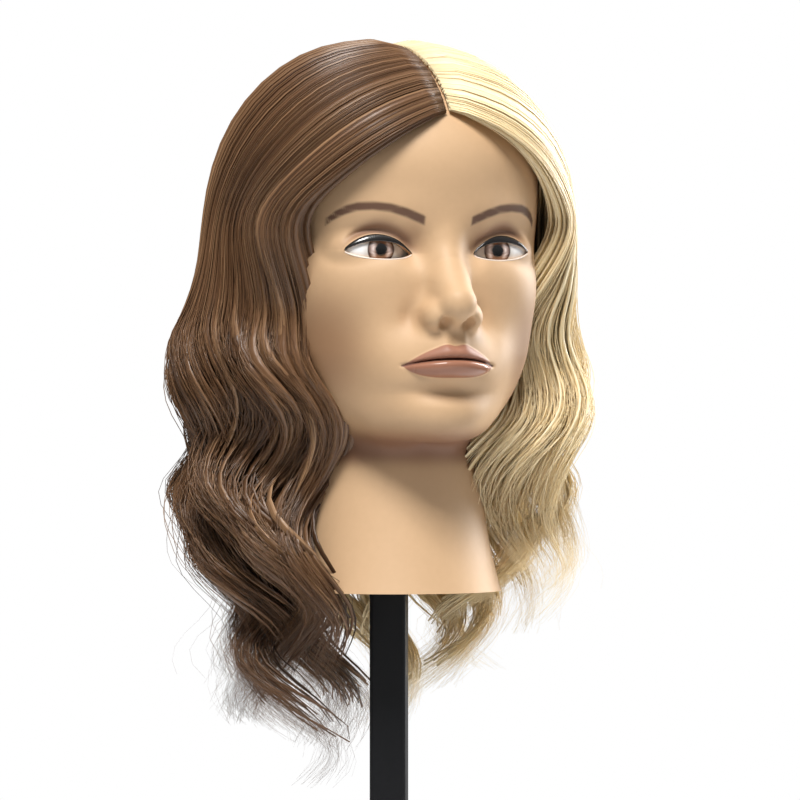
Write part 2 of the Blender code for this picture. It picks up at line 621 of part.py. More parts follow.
def head_shell_and_core():
    shell = object_of("head_shell", skin_of("head_shell", head_field, *SHELL_GRID), VINYL, HEAD_PIVOT)
    hollow = cutter("head_hollow", skin_of("head_hollow", bare_field, *CORE_GRID, -SHELL_WALL, SHELL_WALL),
                    HEAD_PIVOT)
    cut(shell, hollow)
    core = object_of("foam_core", skin_of("foam_core", bare_field, *CORE_GRID, -SHELL_WALL - GAP), FOAM,
                     HEAD_PIVOT)
    core_bottom = NECK_RECESS + NECK_PLATE_THICKNESS + GAP
    base = cutter("core_base", block("core_base", (-1, -1, -1), (1, 1, core_bottom)), HEAD_PIVOT)
    bore_top = SOCKET_TOP + SOCKET_ROOF + GAP - NECK_BASE
    bore_profile = rod_profile(SOCKET_RADIUS + SOCKET_WALL + GAP, 0, bore_top, 0.1 * MM)
    bore = cutter("core_bore", turned("core_bore", bore_profile), HEAD_PIVOT)
    cut(core, base, bore)
    for side, name in ((-1, "right"), (1, "left")):
        room = cutter(f"eye_room_{name}", eye_dome(f"eye_room_{name}", GAP, GAP), HEAD_PIVOT)
        gap = cutter(f"eye_gap_{name}", eye_opening(f"eye_gap_{name}"), HEAD_PIVOT)
        hole = eye_dome(f"eye_socket_{name}", GAP, GAP / SOCKET_STRETCH)
        socket = cutter(f"eye_socket_{name}", hole, HEAD_PIVOT)
        for tool in (room, gap, socket):
            tool.location = eye_place(side)
            tool.scale.x = side
        socket.scale.y = SOCKET_STRETCH
        cut(shell, room, gap)
        cut(core, socket)


def eyes_and_lashes():
    wide, high = EYE_OPENING
    for side, name in ((-1, "right"), (1, "left")):
        eye = object_of(f"eye_{name}", eye_dome(f"eye_{name}"), EYE_ACRYLIC, HEAD_PIVOT)
        eye.location = eye_place(side)
        across = np.linspace(-wide, wide, 13)
        rise = high * (1 - (across / wide) ** 2) + 0.07 * across + LASH_RADIUS
        starts = np.stack([across + EYE_CENTRE[0] + EYE_OPENING_OFFSET[0], np.zeros(13),
                           rise + EYE_CENTRE[2] + EYE_OPENING_OFFSET[1]], axis=1)
        ahead = np.tile((0.0, -1.0, 0.0), (13, 1))
        route = pushed_out(head_field, starts, ahead, LASH_RADIUS + 2 * GAP)
        strip = bpy.data.curves.new(f"lash_{name}", "CURVE")
        strip.dimensions = "3D"
        strip.bevel_depth = LASH_RADIUS
        strip.bevel_resolution = 1
        strip.use_fill_caps = True
        line = strip.splines.new("POLY")
        line.points.add(len(route) - 1)
        for point, place in zip(line.points, route):
            point.co = (side * place[0], place[1], place[2], 1)
        object_of(f"lash_{name}", strip, LASH_BLACK, HEAD_PIVOT)


def neck_fittings():
    """The plate that closes the neck, and the socket screwed to it from below."""
    rim = skin_of("neck_plate", bare_field, *CORE_GRID, -SHELL_WALL - GAP)
    plate = object_of("neck_plate", rim, BLACK_PLASTIC, HEAD_PIVOT)
    low = cutter("plate_below", block("plate_below", (-1, -1, -1), (1, 1, NECK_RECESS)), HEAD_PIVOT)
    plate_top = NECK_RECESS + NECK_PLATE_THICKNESS
    high = cutter("plate_above", block("plate_above", (-1, -1, plate_top), (1, 1, 1)), HEAD_PIVOT)
    bore_profile = rod_profile(SOCKET_RADIUS + SOCKET_WALL + GAP, 0, 2 * plate_top, 0.1 * MM)
    bore = cutter("plate_bore", turned("plate_bore", bore_profile), HEAD_PIVOT)
    cut(plate, low, high, bore)
    outer = SOCKET_RADIUS + SOCKET_WALL
    flange_top = FLANGE_BOTTOM + SOCKET_FLANGE_THICKNESS
    profile = [(0, SOCKET_TOP), (SOCKET_RADIUS, SOCKET_TOP), (SOCKET_RADIUS, FLANGE_BOTTOM),
               (SOCKET_FLANGE_RADIUS, FLANGE_BOTTOM), (SOCKET_FLANGE_RADIUS, flange_top), (outer, flange_top),
               (outer, SOCKET_TOP + SOCKET_ROOF), (0, SOCKET_TOP + SOCKET_ROOF)]
    socket = object_of("peg_socket", turned("peg_socket", [(r, z - NECK_BASE) for r, z in profile]),
                       WHITE_PLASTIC, HEAD_PIVOT)
    for number in range(SOCKET_SCREWS):
        turn = 2 * math.pi * number / SOCKET_SCREWS
        place = (SOCKET_SCREW_CIRCLE * math.sin(turn), SOCKET_SCREW_CIRCLE * math.cos(turn), 0)
        for piece in (socket, plate):
            hole = cutter("socket_screw_hole", turned("socket_screw_hole", rod_profile(
                SOCKET_SCREW_RADIUS + GAP, 0, 2 * (NECK_RECESS + NECK_PLATE_THICKNESS), 0.1 * MM), 12),
                HEAD_PIVOT)
            hole.location = place
            cut(piece, hole)
        head = FLANGE_BOTTOM - NECK_BASE - GAP
        reach = NECK_RECESS + NECK_PLATE_THICKNESS - GAP
        face = head - SOCKET_SCREW_HEAD_HEIGHT
        profile = [(0, face), (SOCKET_SCREW_HEAD_RADIUS, face), (SOCKET_SCREW_HEAD_RADIUS, head),
                   (SOCKET_SCREW_RADIUS, head), (SOCKET_SCREW_RADIUS, reach), (0, reach)]
        screw = object_of(f"socket_screw_{number + 1}", turned("socket_screw", profile, 12), ZINC, HEAD_PIVOT)
        screw.location = place


# Hair: plain solids where the hair is, a cap on the skull and hanging panels for each colour

def over_skull(side, back, down):
    """Unit direction on a comb line: from the parting, over the skull, to its widest level."""
    tilt = PART_FRONT + (PART_BACK - PART_FRONT) * back
    turn = FALL_FRONT + (FALL_BACK - FALL_FRONT) * back
    start = Vector((0, -math.sin(tilt), math.cos(tilt)))
    end = Vector((side * math.sin(turn), -math.cos(turn), 0))
    return np.array(start.slerp(end, down)) * SKULL_RADII


def cap_points(side, grid, thick):
    starts = np.tile(SKULL_CENTRE, (len(grid), 1))
    ways = np.array([over_skull(side, back, down) for back, down in grid])
    ways /= np.linalg.norm(ways, axis=1)[:, None]
    places = pushed_out(head_field, starts, ways, HAIR_CLEARANCE)
    return places + ways * np.array([thick(down) for _, down in grid])[:, None]


def panel_points(side, grid, turns, end, reach):
    """Points of a hanging panel's skin. grid holds (share of the way round, share of the way down) pairs,
    and reach is the outer skin's widest distance from the axis, or 0 for the inner skin."""
    round_share, down = np.array(grid).T
    turn = turns[0] + (turns[1] - turns[0]) * round_share
    ways = np.stack([side * np.sin(turn), -np.cos(turn), np.zeros(len(grid))], axis=1)
    height = SKULL_WIDEST - 2 * GAP + (end - SKULL_WIDEST) * down
    starts = np.stack([np.zeros(len(grid)), np.zeros(len(grid)), np.maximum(height, 0)], axis=1)
    vinyl = np.linalg.norm(pushed_out(covered_field, starts, ways, PANEL_CLEARANCE)[:, :2], axis=1)
    away = np.maximum(vinyl, FALL_INNER)
    if reach:
        skull = np.hypot(SKULL_RADII[0] * ways[:, 0], SKULL_RADII[1] * ways[:, 1]) + HAIR_AT_SIDE
        swell = np.sin(math.pi / 2 * np.clip((SKULL_WIDEST - height) / (SKULL_WIDEST - FALL_WIDEST), 0, 1))
        taper = np.clip((FALL_WIDEST - height) / (FALL_WIDEST - end), 0, 1) ** 1.5
        away = np.maximum(skull + (reach - skull) * swell + (FALL_END_REACH - reach) * taper,
                          away + HAIR_AT_PART)
    places = ways * away[:, None]
    places[:, 2] = height
    return places


def slab(name, along, across, outside, inside, material):
    """A grid sheet with two skins: outside and inside turn (share, share) pairs into places."""
    shape = bmesh.new()
    bmesh.ops.create_grid(shape, x_segments=along, y_segments=across, size=0.5)
    skin = list(shape.verts)
    grid = [(v.co.x + 0.5, v.co.y + 0.5) for v in skin]
    pulled = bmesh.ops.extrude_face_region(shape, geom=shape.faces[:])["geom"]
    backs = [v for v in pulled if isinstance(v, bmesh.types.BMVert)]
    back_grid = [(v.co.x + 0.5, v.co.y + 0.5) for v in backs]
    for verts, places in ((skin, inside(grid)), (backs, outside(back_grid))):
        for vert, place in zip(verts, places):
            vert.co = place
    object_of(name, mesh_of(name, shape, 60), material, HEAD_PIVOT)


def hair(side, colour):
    def trimmed(grid):
        return [(0.004 + 0.992 * back, PART_GAP + (1 - PART_GAP) * down) for back, down in grid]

    def thickness(down):
        return HAIR_AT_PART + (HAIR_AT_SIDE - HAIR_AT_PART) * min(1, down) ** 0.8 - HAIR_CLEARANCE

    slab(f"{colour}_hair_cap", 12, 7, lambda grid: cap_points(side, trimmed(grid), thickness),
         lambda grid: cap_points(side, trimmed(grid), lambda down: 0), HAIR_COLOURS[colour])
    slit = GAP / FALL_INNER
    for part, turns, end in (("side", (FALL_FRONT, FALL_SPLIT - slit), FALL_SIDE_END[colour]),
                             ("back", (FALL_SPLIT + slit, FALL_BACK), FALL_BACK_END[colour])):
        def skin(grid, reach, turns=turns, end=end):
            return panel_points(side, grid, turns, end, reach)
        slab(f"{colour}_hair_{part}", 7, 10, lambda grid: skin(grid, FALL_REACH[colour]),
             lambda grid: skin(grid, 0), HAIR_COLOURS[colour])


clamp_frame()
clamp_pads()
clamp_nut()
clamp_screw()
tommy_bar()
post_foot()
post_tube()
peg()
head_shell_and_core()
eyes_and_lashes()
neck_fittings()
hair(-1, "brown")
hair(1, "blonde")
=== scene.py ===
"""Mannequin training head for hairdressers: the looks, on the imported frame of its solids."""

import math

import bmesh
import bpy
import numpy as np
from mathutils import Matrix, Vector


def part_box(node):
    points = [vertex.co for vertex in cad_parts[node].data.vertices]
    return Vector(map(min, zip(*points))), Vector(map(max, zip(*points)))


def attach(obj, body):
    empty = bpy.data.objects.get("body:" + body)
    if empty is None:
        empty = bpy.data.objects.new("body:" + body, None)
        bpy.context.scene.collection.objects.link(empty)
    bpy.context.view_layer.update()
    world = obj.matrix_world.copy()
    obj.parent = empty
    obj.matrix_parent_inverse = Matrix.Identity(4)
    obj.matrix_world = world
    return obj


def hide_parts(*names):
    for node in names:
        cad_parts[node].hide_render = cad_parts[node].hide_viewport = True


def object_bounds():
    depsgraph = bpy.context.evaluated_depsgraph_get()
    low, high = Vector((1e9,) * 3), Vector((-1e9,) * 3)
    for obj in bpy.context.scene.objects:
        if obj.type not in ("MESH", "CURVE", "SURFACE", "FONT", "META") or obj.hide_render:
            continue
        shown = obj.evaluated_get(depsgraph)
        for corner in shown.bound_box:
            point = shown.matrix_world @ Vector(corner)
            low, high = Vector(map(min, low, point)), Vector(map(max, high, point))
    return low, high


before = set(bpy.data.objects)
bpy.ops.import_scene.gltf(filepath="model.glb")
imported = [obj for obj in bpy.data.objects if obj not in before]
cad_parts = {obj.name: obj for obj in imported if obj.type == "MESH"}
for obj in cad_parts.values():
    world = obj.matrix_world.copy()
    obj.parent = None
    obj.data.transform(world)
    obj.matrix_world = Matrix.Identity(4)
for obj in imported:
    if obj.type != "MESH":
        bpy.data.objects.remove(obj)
cad_low, cad_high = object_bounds()

# ---------------------------------------------------------------------------------------------------
# Post and clamp
# The square tube, its foot and the C of the clamp are mild steel under one satin black powder coat,
# which is a little rough and has a fine orange-peel ripple. The foot is held by four plated screws.

STEEL_BLACK = (0.0045, 0.0048, 0.0060)


def material(name, colour, roughness, metallic=0.0):
    """A Principled material of one finish, and its shader to add to."""
    made = bpy.data.materials.new(name)
    made.use_nodes = True
    shader = made.node_tree.nodes["Principled BSDF"]
    shader.inputs["Base Color"].default_value = (*colour, 1)
    shader.inputs["Roughness"].default_value = roughness
    shader.inputs["Metallic"].default_value = metallic
    return made, shader


def part_of(made, kind, **values):
    """A node in a material, with its properties or its inputs set by name."""
    fresh = made.node_tree.nodes.new(kind)
    for key, value in values.items():
        if hasattr(fresh, key):
            setattr(fresh, key, value)
        else:
            fresh.inputs[key.replace("_", " ")].default_value = value
    return fresh


def wire(made, start, end):
    made.node_tree.links.new(start, end)


def grain(made, shader, scale, roughness, bump, stretch=(1, 1, 1)):
    """Fine unevenness on Object coordinates: it varies the roughness and ripples the surface."""
    place = part_of(made, "ShaderNodeTexCoord")
    mapping = part_of(made, "ShaderNodeMapping", Scale=stretch)
    noise = part_of(made, "ShaderNodeTexNoise", Scale=scale, Detail=4.0)
    shine = part_of(made, "ShaderNodeMapRange", To_Min=roughness[0], To_Max=roughness[1])
    ripple = part_of(made, "ShaderNodeBump", Strength=bump, Distance=0.0002)
    wire(made, place.outputs["Object"], mapping.inputs["Vector"])
    wire(made, mapping.outputs["Vector"], noise.inputs["Vector"])
    wire(made, noise.outputs["Fac"], shine.inputs["Value"])
    wire(made, shine.outputs["Result"], shader.inputs["Roughness"])
    wire(made, noise.outputs["Fac"], ripple.inputs["Height"])
    wire(made, ripple.outputs["Normal"], shader.inputs["Normal"])
    return noise


def tinted(made, shader, noise, low, high):
    """Colour that drifts between two shades with a noise."""
    shades = part_of(made, "ShaderNodeMix", data_type="RGBA")
    shades.inputs[6].default_value = (*low, 1)
    shades.inputs[7].default_value = (*high, 1)
    wire(made, noise.outputs["Fac"], shades.inputs[0])
    wire(made, shades.outputs[2], shader.inputs["Base Color"])


def dress(made, *names):
    """Gives a CAD node this material in place of its own."""
    for name in names:
        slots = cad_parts[name].material_slots
        if not slots:
            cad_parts[name].data.materials.append(made)
        for place in slots:
            place.material = made


powder_coat, shader = material("powder_coat", STEEL_BLACK, 0.35)
shader.inputs["Specular IOR Level"].default_value = 0.35
tinted(powder_coat, shader, grain(powder_coat, shader, 900, (0.3, 0.42), 0.12), STEEL_BLACK,
       [c * 1.6 for c in STEEL_BLACK])
dress(powder_coat, "post_tube", "post_foot", "clamp_frame")

zinc, shader = material("zinc_plate", (0.5, 0.5, 0.51), 0.3, 1.0)
tinted(zinc, shader, grain(zinc, shader, 300, (0.22, 0.42), 0.15), (0.42, 0.42, 0.44), (0.58, 0.58, 0.57))
dress(zinc, "screw_nut", "pressure_disc", "foot_screw_1", "foot_screw_2", "foot_screw_3", "foot_screw_4",
      "socket_screw_1", "socket_screw_2", "socket_screw_3", "tommy_bar", "spindle")

rubber, shader = material("black_rubber", (0.02, 0.02, 0.02), 0.8)
tinted(rubber, shader, grain(rubber, shader, 1200, (0.7, 0.9), 0.4), (0.015, 0.015, 0.015),
       (0.03, 0.03, 0.03))
dress(rubber, "seat_pad", "pressure_rubber", "lower_o_ring", "upper_o_ring")

nylon, shader = material("black_nylon", (0.02, 0.02, 0.021), 0.5)
tinted(nylon, shader, grain(nylon, shader, 700, (0.42, 0.58), 0.2), (0.014, 0.014, 0.015),
       (0.028, 0.028, 0.028))
dress(nylon, "peg", "neck_plate", "bar_knob_left", "bar_knob_right")

acetal, shader = material("white_acetal", (0.7, 0.7, 0.67), 0.45)
tinted(acetal, shader, grain(acetal, shader, 400, (0.38, 0.5), 0.1), (0.66, 0.66, 0.63), (0.74, 0.74, 0.71))
dress(acetal, "thrust_washer", "peg_socket")

foam, shader = material("rigid_foam", (0.7, 0.6, 0.4), 0.95)
tinted(foam, shader, grain(foam, shader, 1500, (0.9, 1.0), 0.8), (0.62, 0.52, 0.34), (0.76, 0.66, 0.46))
dress(foam, "foam_core")

# ---------------------------------------------------------------------------------------------------
# Head
# A slush-moulded vinyl skin 4 mm thick over a foam core, open at the neck and at the eyes. Its lips,
# brows and lid shadow are airbrushed on. The lid shadow is also painted shade in the lids' creases.
# Painted shade darkens the sides of the cheeks (with an airbrushed contour), the sockets beside the
# nose, under the lower lip, under the chin and along the lips' parting. It is lacquered matt, and the
# lower lip glossy.

MM = 0.001
HEAD_TURN = math.radians(26)
NECK_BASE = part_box("head_shell")[0][2]
HEAD_PLACE = Matrix.Translation((0, 0, NECK_BASE)) @ Matrix.Rotation(HEAD_TURN, 4, "Z")
SHELL_WALL = 4 * MM
EYE_CENTRE = np.array((32, -57.5, 176.5)) * MM
EYE_RADII = np.array((22.5, 15.2, 12.9)) * MM
LID_THICKNESS = 1.5 * MM
SLIT_CENTRE = (33.7 * MM, 174.8 * MM)
SLIT_HALF = 16.6 * MM
SLIT_UP = 6.0 * MM
SLIT_DOWN = 3.5 * MM
SLIT_TILT = 0.05
MOUTH_HALF = 24.5 * MM
MOUTH_HEIGHT = 120.4 * MM
HEAD_ROWS = 300
HEAD_COLUMNS = 300


def blend_in(a, b, soft):
    """Two distance fields as one, with a fillet between them."""
    share = np.clip(0.5 + 0.5 * (b - a) / soft, 0, 1)
    return b + (a - b) * share - soft * share * (1 - share)


def carve_out(a, b, soft):
    return -blend_in(-a, b, soft)


def lump(p, centre, radii):
    q = p - np.array(centre) * MM
    radii = np.array(radii) * MM
    near = np.linalg.norm(q / radii, axis=-1)
    return near * (near - 1) / (np.linalg.norm(q / radii ** 2, axis=-1) + 1e-9)


def limb(p, a, b, radius_a, radius_b):
    a, b = np.array(a) * MM, np.array(b) * MM
    along = np.clip((p - a) @ (b - a) / ((b - a) @ (b - a)), 0, 1)
    reach = np.linalg.norm(p - a - along[..., None] * (b - a), axis=-1)
    return reach - (radius_a + (radius_b - radius_a) * along) * MM


def bell(offset, width):
    return np.exp(-(offset / width) ** 2)


def ease(value, low, high):
    share = np.clip((value - low) / (high - low), 0, 1)
    return share * share * (3 - 2 * share)


def bare_form(p):
    """Braincase, face and neck with no features; x is folded."""
    d = blend_in(lump(p, (0, 2, 207), (73.5, 88, 76)), lump(p, (0, -36, 212), (57, 52.5, 48)), 26 * MM)
    d = blend_in(d, lump(p, (0, -28, 156), (61.5, 54, 76)), 24 * MM)
    d = blend_in(d, lump(p, (34, -38, 128), (23, 25, 26)), 20 * MM)
    d = blend_in(d, limb(p, (40, -18, 112), (20, -54, 96), 14, 16), 20 * MM)
    d = blend_in(d, lump(p, (0, -70, 93.5), (23, 19, 15.5)), 14 * MM)
    d = blend_in(d, lump(p, (0, -64, 122), (36, 27, 27)), 16 * MM)
    d = blend_in(d, lump(p, (34, -46, 158), (22, 24, 20)), 20 * MM)
    up = np.clip(p[..., 2] / (90 * MM), 0, 1)
    half = 47 * MM + 10 * MM * (1 - up) ** 2.2
    y = p[..., 1] - 8 * MM * (up - 0.5)
    neck = (np.sqrt((p[..., 0] / half) ** 2 + (y / (half + 2 * MM)) ** 2) - 1) * half
    return blend_in(d, np.maximum(neck, p[..., 2] - 130 * MM), 14 * MM)


def mouth_lines(x):
    """Heights, in mm, of the lips' upper edge, parting and lower edge; x in mm, folded."""
    out = np.clip(x / (MOUTH_HALF / MM), 0, 1)
    parting = MOUTH_HEIGHT / MM - 3.4 * out ** 2.2
    upper = parting + 7.7 * (1 - out ** 1.6) ** 0.95 * (1 - 0.14 * bell(x, 2.8)) + 0.4 * bell(x - 6, 3)
    return upper, parting, parting - 9.7 * (1 - out ** 2.6) ** 0.75


def relief(x, z):
    """Features as heights in mm on the bare form, with x folded and both in mm."""
    h = -5.5 * bell(z - 198, 24) * (0.25 + 0.75 * ease(x, 56, 28))  # upright forehead
    h = h + 1.2 * bell(x - 30, 18) * bell(z - 198, 8)  # brow
    h = h - 4.5 * bell(x - 32, 18) * bell(z - 181, 9)  # socket
    h = h - 5.0 * bell(x - 16, 7) * bell(z - 176, 9)
    h = h - 2.0 * bell(x - 50, 8) * bell(z - 175, 8)
    h = h + 4.0 * bell(x, 13) * bell(z - 126, 14)  # arch of the teeth
    h = h - 1.3 * bell(x - 25, 7) * bell(z - 133, 12)  # fold beside the mouth
    h = h - 3.4 * bell(x, 20) * bell(z - 103.5, 5)  # under the lower lip
    h = h - 2.5 * bell(x - 19, 5) * bell(z - 141, 9)  # beside the nostril
    h = h - 1.0 * bell(x, 2.8) * ease(z, 124, 129) * ease(z, 139, 133)  # groove under the nose
    h = h + 0.5 * bell(x - 5.2, 2.2) * ease(z, 124, 129) * ease(z, 138, 133)
    upper, parting, lower = mouth_lines(x)
    inside = ease(x, 25.5, 19)
    up = np.clip((z - parting) / (upper - parting + 0.3), 0, 1)
    down = np.clip((parting - z) / (parting - lower + 0.3), 0, 1)
    h = h + inside * 1.05 * (upper - parting) * up ** 0.5 * (1 - up) ** 0.9
    h = h + inside * 1.05 * (parting - lower) * down ** 0.5 * (1 - down) ** 0.8
    return h - ease(x, 27, 23) * 1.1 * bell(z - parting, 1.0)


def lid_ridge(x):
    """Height in mm of the upper lid's edge, over the lash line; x in mm, folded."""
    across = np.clip((x - 33.8) / 17.4, -1, 1)
    return 175.0 + 0.05 * (x - 33.8) + 9.3 * (1 - across ** 2) ** 0.85


def nose(p):
    d = limb(p, (0, -70, 196), (0, -84, 168), 8.5, 6.0)
    d = blend_in(d, limb(p, (0, -84, 168), (0, -98, 149), 6.0, 9.4), 7 * MM)
    d = blend_in(d, limb(p, (2, -86, 158), (5.5, -85, 145), 8, 7), 7 * MM)
    d = blend_in(d, lump(p, (10.4, -89.5, 141.6), (5.6, 8, 6.6)), 6 * MM)
    d = blend_in(d, limb(p, (0, -98, 143), (0, -90, 138), 4.0, 4), 3.5 * MM)
    return carve_out(d, lump(p, (6.2, -96.5, 137.4), (3.2, 6.2, 4.6)), 2 * MM)


def folded(p):
    """The same points with x folded to one side, for a form that is the same on both."""
    return np.concatenate([np.abs(p[..., :1]), p[..., 1:]], axis=-1)


def head_form(p):
    """The whole head as a distance field, in metres in its own frame."""
    p = folded(p)
    x, z = p[..., 0] / MM, p[..., 2] / MM
    front = ease(p[..., 1], -30 * MM, -60 * MM)
    d = bare_form(p) - relief(x, z) * front * MM
    d = blend_in(d, lump(p, EYE_CENTRE / MM, (EYE_RADII + LID_THICKNESS) / MM), 3.5 * MM)
    d = d + 1.3 * MM * bell(z - lid_ridge(x) - 2.2, 1.8) * ease(x, 15, 22) * ease(x, 54, 46) * front
    d = blend_in(d, nose(p), 6 * MM)
    ear = carve_out(lump(p, (72, 12, 164), (9, 14, 27)), lump(p, (81, 10, 167), (6.3, 8.7, 16.7)), 3 * MM)
    return blend_in(d, ear, 5 * MM)


def pushed_out(form, starts, ways, level=0.0):
    """Where rays meet the outermost surface of a field."""
    away = np.full(starts.shape[:-1], 150 * MM)
    for _ in range(55):
        away = np.maximum(away - 0.75 * (form(starts + ways * away[..., None]) - level), 2 * MM)
    return starts + ways * away[..., None]


def head_rays(turn, down):
    """Rays from the post's axis: over the crown, level at the face, fanned down under the chin."""
    crown, face, chin = 0.17, 0.82, 0.95
    lift = np.clip(1 - down / crown, 0, 1) * math.pi / 2
    level = np.cos(lift)
    rise = np.sin(lift)
    height = np.interp(down, (0, crown, face, chin, 1), (190, 190, 102, 93, 0)) * MM
    fan = np.clip((down - face) / (chin - face), 0, 1) * np.clip((1 - down) / (1 - chin), 0, 1)
    rise = np.where(down > face, -fan, rise)
    length = np.hypot(level, rise)
    ways = np.stack([level * np.sin(turn), -level * np.cos(turn), rise], axis=1) / length[:, None]
    starts = np.zeros_like(ways)
    starts[:, 2] = height
    return starts, ways


def moulded(name, form, rows, columns, level=0.0, below=0.0):
    """A ball whose rings are pushed out to a form. With below, one more ring hangs under the neck's rim."""
    rings = rows + (1 if below else 0)
    shape = bmesh.new()
    bmesh.ops.create_uvsphere(shape, u_segments=columns, v_segments=rings + 1, radius=1)
    mesh = bpy.data.meshes.new(name)
    shape.to_mesh(mesh)
    shape.free()
    ball = np.empty(len(mesh.vertices) * 3)
    mesh.vertices.foreach_get("co", ball)
    ball = ball.reshape(-1, 3)
    row = np.round(np.arccos(np.clip(ball[:, 2], -1, 1)) / math.pi * (rings + 1))
    turn = np.arctan2(ball[:, 0], -ball[:, 1])
    turn = 0.5 * turn + 0.5 * turn ** 3 / math.pi ** 2
    starts, ways = head_rays(turn, np.minimum(row, rows) / rows)
    places = pushed_out(form, starts, ways, level)
    places[row > rings] = 0
    places[row > rows, 2] -= below
    mesh.vertices.foreach_set("co", places.ravel())
    mesh.update()
    shape = bmesh.new()
    shape.from_mesh(mesh)
    if shape.calc_volume(signed=True) < 0:
        bmesh.ops.reverse_faces(shape, faces=shape.faces)
    shape.to_mesh(mesh)
    shape.free()
    return mesh


def put(name, mesh, made=None, body=None):
    """A finished object at the origin, with the body it rides on and the slot of its finish."""
    thing = bpy.data.objects.new(name, mesh)
    bpy.context.scene.collection.objects.link(thing)
    if made:
        mesh.materials.append(made)
    if body:
        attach(thing, body)
    return thing


def slit_edge(x, upper):
    """Height in metres of the eye slit's upper or lower edge at x, folded."""
    across = np.clip((x - SLIT_CENTRE[0]) / SLIT_HALF, -1, 1)
    middle = SLIT_CENTRE[1] + SLIT_TILT * (x - SLIT_CENTRE[0])
    if upper:
        return middle + SLIT_UP * (1 - across ** 2) ** 0.75 * (1 - 0.12 * across)
    return middle - SLIT_DOWN * (1 - across ** 2) ** 0.6


def eye_slit(side, steps=24):
    """The prism that cuts the slit between the lids."""
    shape = bmesh.new()
    share = np.cos(np.linspace(0, math.pi, steps))
    x = SLIT_CENTRE[0] + SLIT_HALF * share
    ring = [(a, b) for a, b in zip(x, slit_edge(x, True))]
    ring += [(a, b) for a, b in zip(x[1:-1][::-1], slit_edge(x[1:-1][::-1], False))]
    face = shape.faces.new([shape.verts.new((side * a, -100 * MM, b)) for a, b in ring])
    pulled = bmesh.ops.extrude_face_region(shape, geom=[face])["geom"]
    bmesh.ops.translate(shape, vec=(0, 42 * MM, 0),
                        verts=[v for v in pulled if isinstance(v, bmesh.types.BMVert)])
    bmesh.ops.recalc_face_normals(shape, faces=shape.faces)
    mesh = bpy.data.meshes.new("slit")
    shape.to_mesh(mesh)
    shape.free()
    return mesh


def eye_ball(side, grow, segments, rings, name):
    """The front half of the eye's ellipsoid, flat behind."""
    shape = bmesh.new()
    bmesh.ops.create_uvsphere(shape, u_segments=segments, v_segments=rings, radius=1)
    bmesh.ops.rotate(shape, verts=shape.verts, cent=(0, 0, 0), matrix=Matrix.Rotation(math.pi / 2, 3, "X"))
    bmesh.ops.bisect_plane(shape, geom=shape.verts[:] + shape.edges[:] + shape.faces[:], plane_co=(0, 0, 0),
                           plane_no=(0, 1, 0), clear_outer=True)
    bmesh.ops.edgeloop_fill(shape, edges=[e for e in shape.edges if e.is_boundary])
    bmesh.ops.scale(shape, verts=shape.verts, vec=EYE_RADII + grow)
    bmesh.ops.translate(shape, verts=shape.verts, vec=(side * EYE_CENTRE[0], EYE_CENTRE[1], EYE_CENTRE[2]))
    bmesh.ops.recalc_face_normals(shape, faces=shape.faces)
    mesh = bpy.data.meshes.new(name)
    shape.to_mesh(mesh)
    shape.free()
    return mesh


def cut_away(mesh, tools):
    """The mesh with others taken out of it."""
    whole = put("whole", mesh)
    knives = []
    for tool in tools:
        knife = put("knife", tool)
        knives.append(knife)
        step = whole.modifiers.new("cut", "BOOLEAN")
        step.operation = "DIFFERENCE"
        step.object = knife
    done = bpy.data.meshes.new_from_object(whole.evaluated_get(bpy.context.evaluated_depsgraph_get()))
    for spare in [whole] + knives:
        bpy.data.objects.remove(spare)
    return done


def corners_of(mesh):
    flat = np.empty(len(mesh.vertices) * 3)
    mesh.vertices.foreach_get("co", flat)
    return flat.reshape(-1, 3)


def remember(mesh, name, values):
    """Keeps a number at each vertex for the material to read."""
    mesh.attributes.new(name, "FLOAT", "POINT").data.foreach_set("value", values.astype(np.float32))


hollow = moulded("hollow", head_form, 60, 64, -SHELL_WALL, SHELL_WALL)
rooms = [eye_ball(side, 0.3 * MM, 48, 24, "room") for side in (-1, 1)]
slits = [eye_slit(side) for side in (-1, 1)]
head_mesh = cut_away(moulded("head_skin", head_form, HEAD_ROWS, HEAD_COLUMNS), [hollow] + rooms + slits)
head_mesh.name = "head_skin"
places = corners_of(head_mesh) / MM
x, y, z = np.abs(places[:, 0]), places[:, 1], places[:, 2]
facing = ease(y, -25, -40)
upper, parting, lower = mouth_lines(x)
lip = np.minimum(np.minimum(upper - z, z - lower), 26.5 - x)
remember(head_mesh, "lower_lip", ease(parting - z, -0.5, 1.5) * ease(x, 23, 18) + 0.15)
remember(head_mesh, "lip", np.where(y < -70, np.clip(lip, -5, 5), -5))
# Distance from the lips' parting, for painted shade along the crease between the lips.
from_parting = np.clip(np.abs(z - parting), 0, 9) + np.clip(x - 25, 0, 9)
remember(head_mesh, "parting", np.where(y < -70, from_parting, 9))
brow_stops = (13, 22, 30, 38, 45, 50, 54, 57)
brow_top = np.interp(x, brow_stops, (193.2, 197, 199.4, 200.4, 200.1, 198.6, 195.9, 192.3))
brow_low = np.interp(x, brow_stops, (188.6, 192.4, 195.1, 196.2, 195.8, 194.0, 191.6, 188.6))
brow = np.minimum(np.minimum(brow_top - z, z - brow_low), np.minimum(x - 12.8, 57 - x))
remember(head_mesh, "brow", np.where(y < -30, np.clip(brow, -5, 5), -5))
above = z - lid_ridge(x)
# Airbrushed eye shadow on the upper lids, also painted crease shade; painted shade beside the nose.
shadow = 1.25 * bell(x - 34, 17) * ease(above, -0.6, 0.8) * bell(np.maximum(above - 1.5, 0), 5.2)
shadow = (shadow + 0.45 * bell(x - 18, 7) * bell(z - 182, 9)) * facing
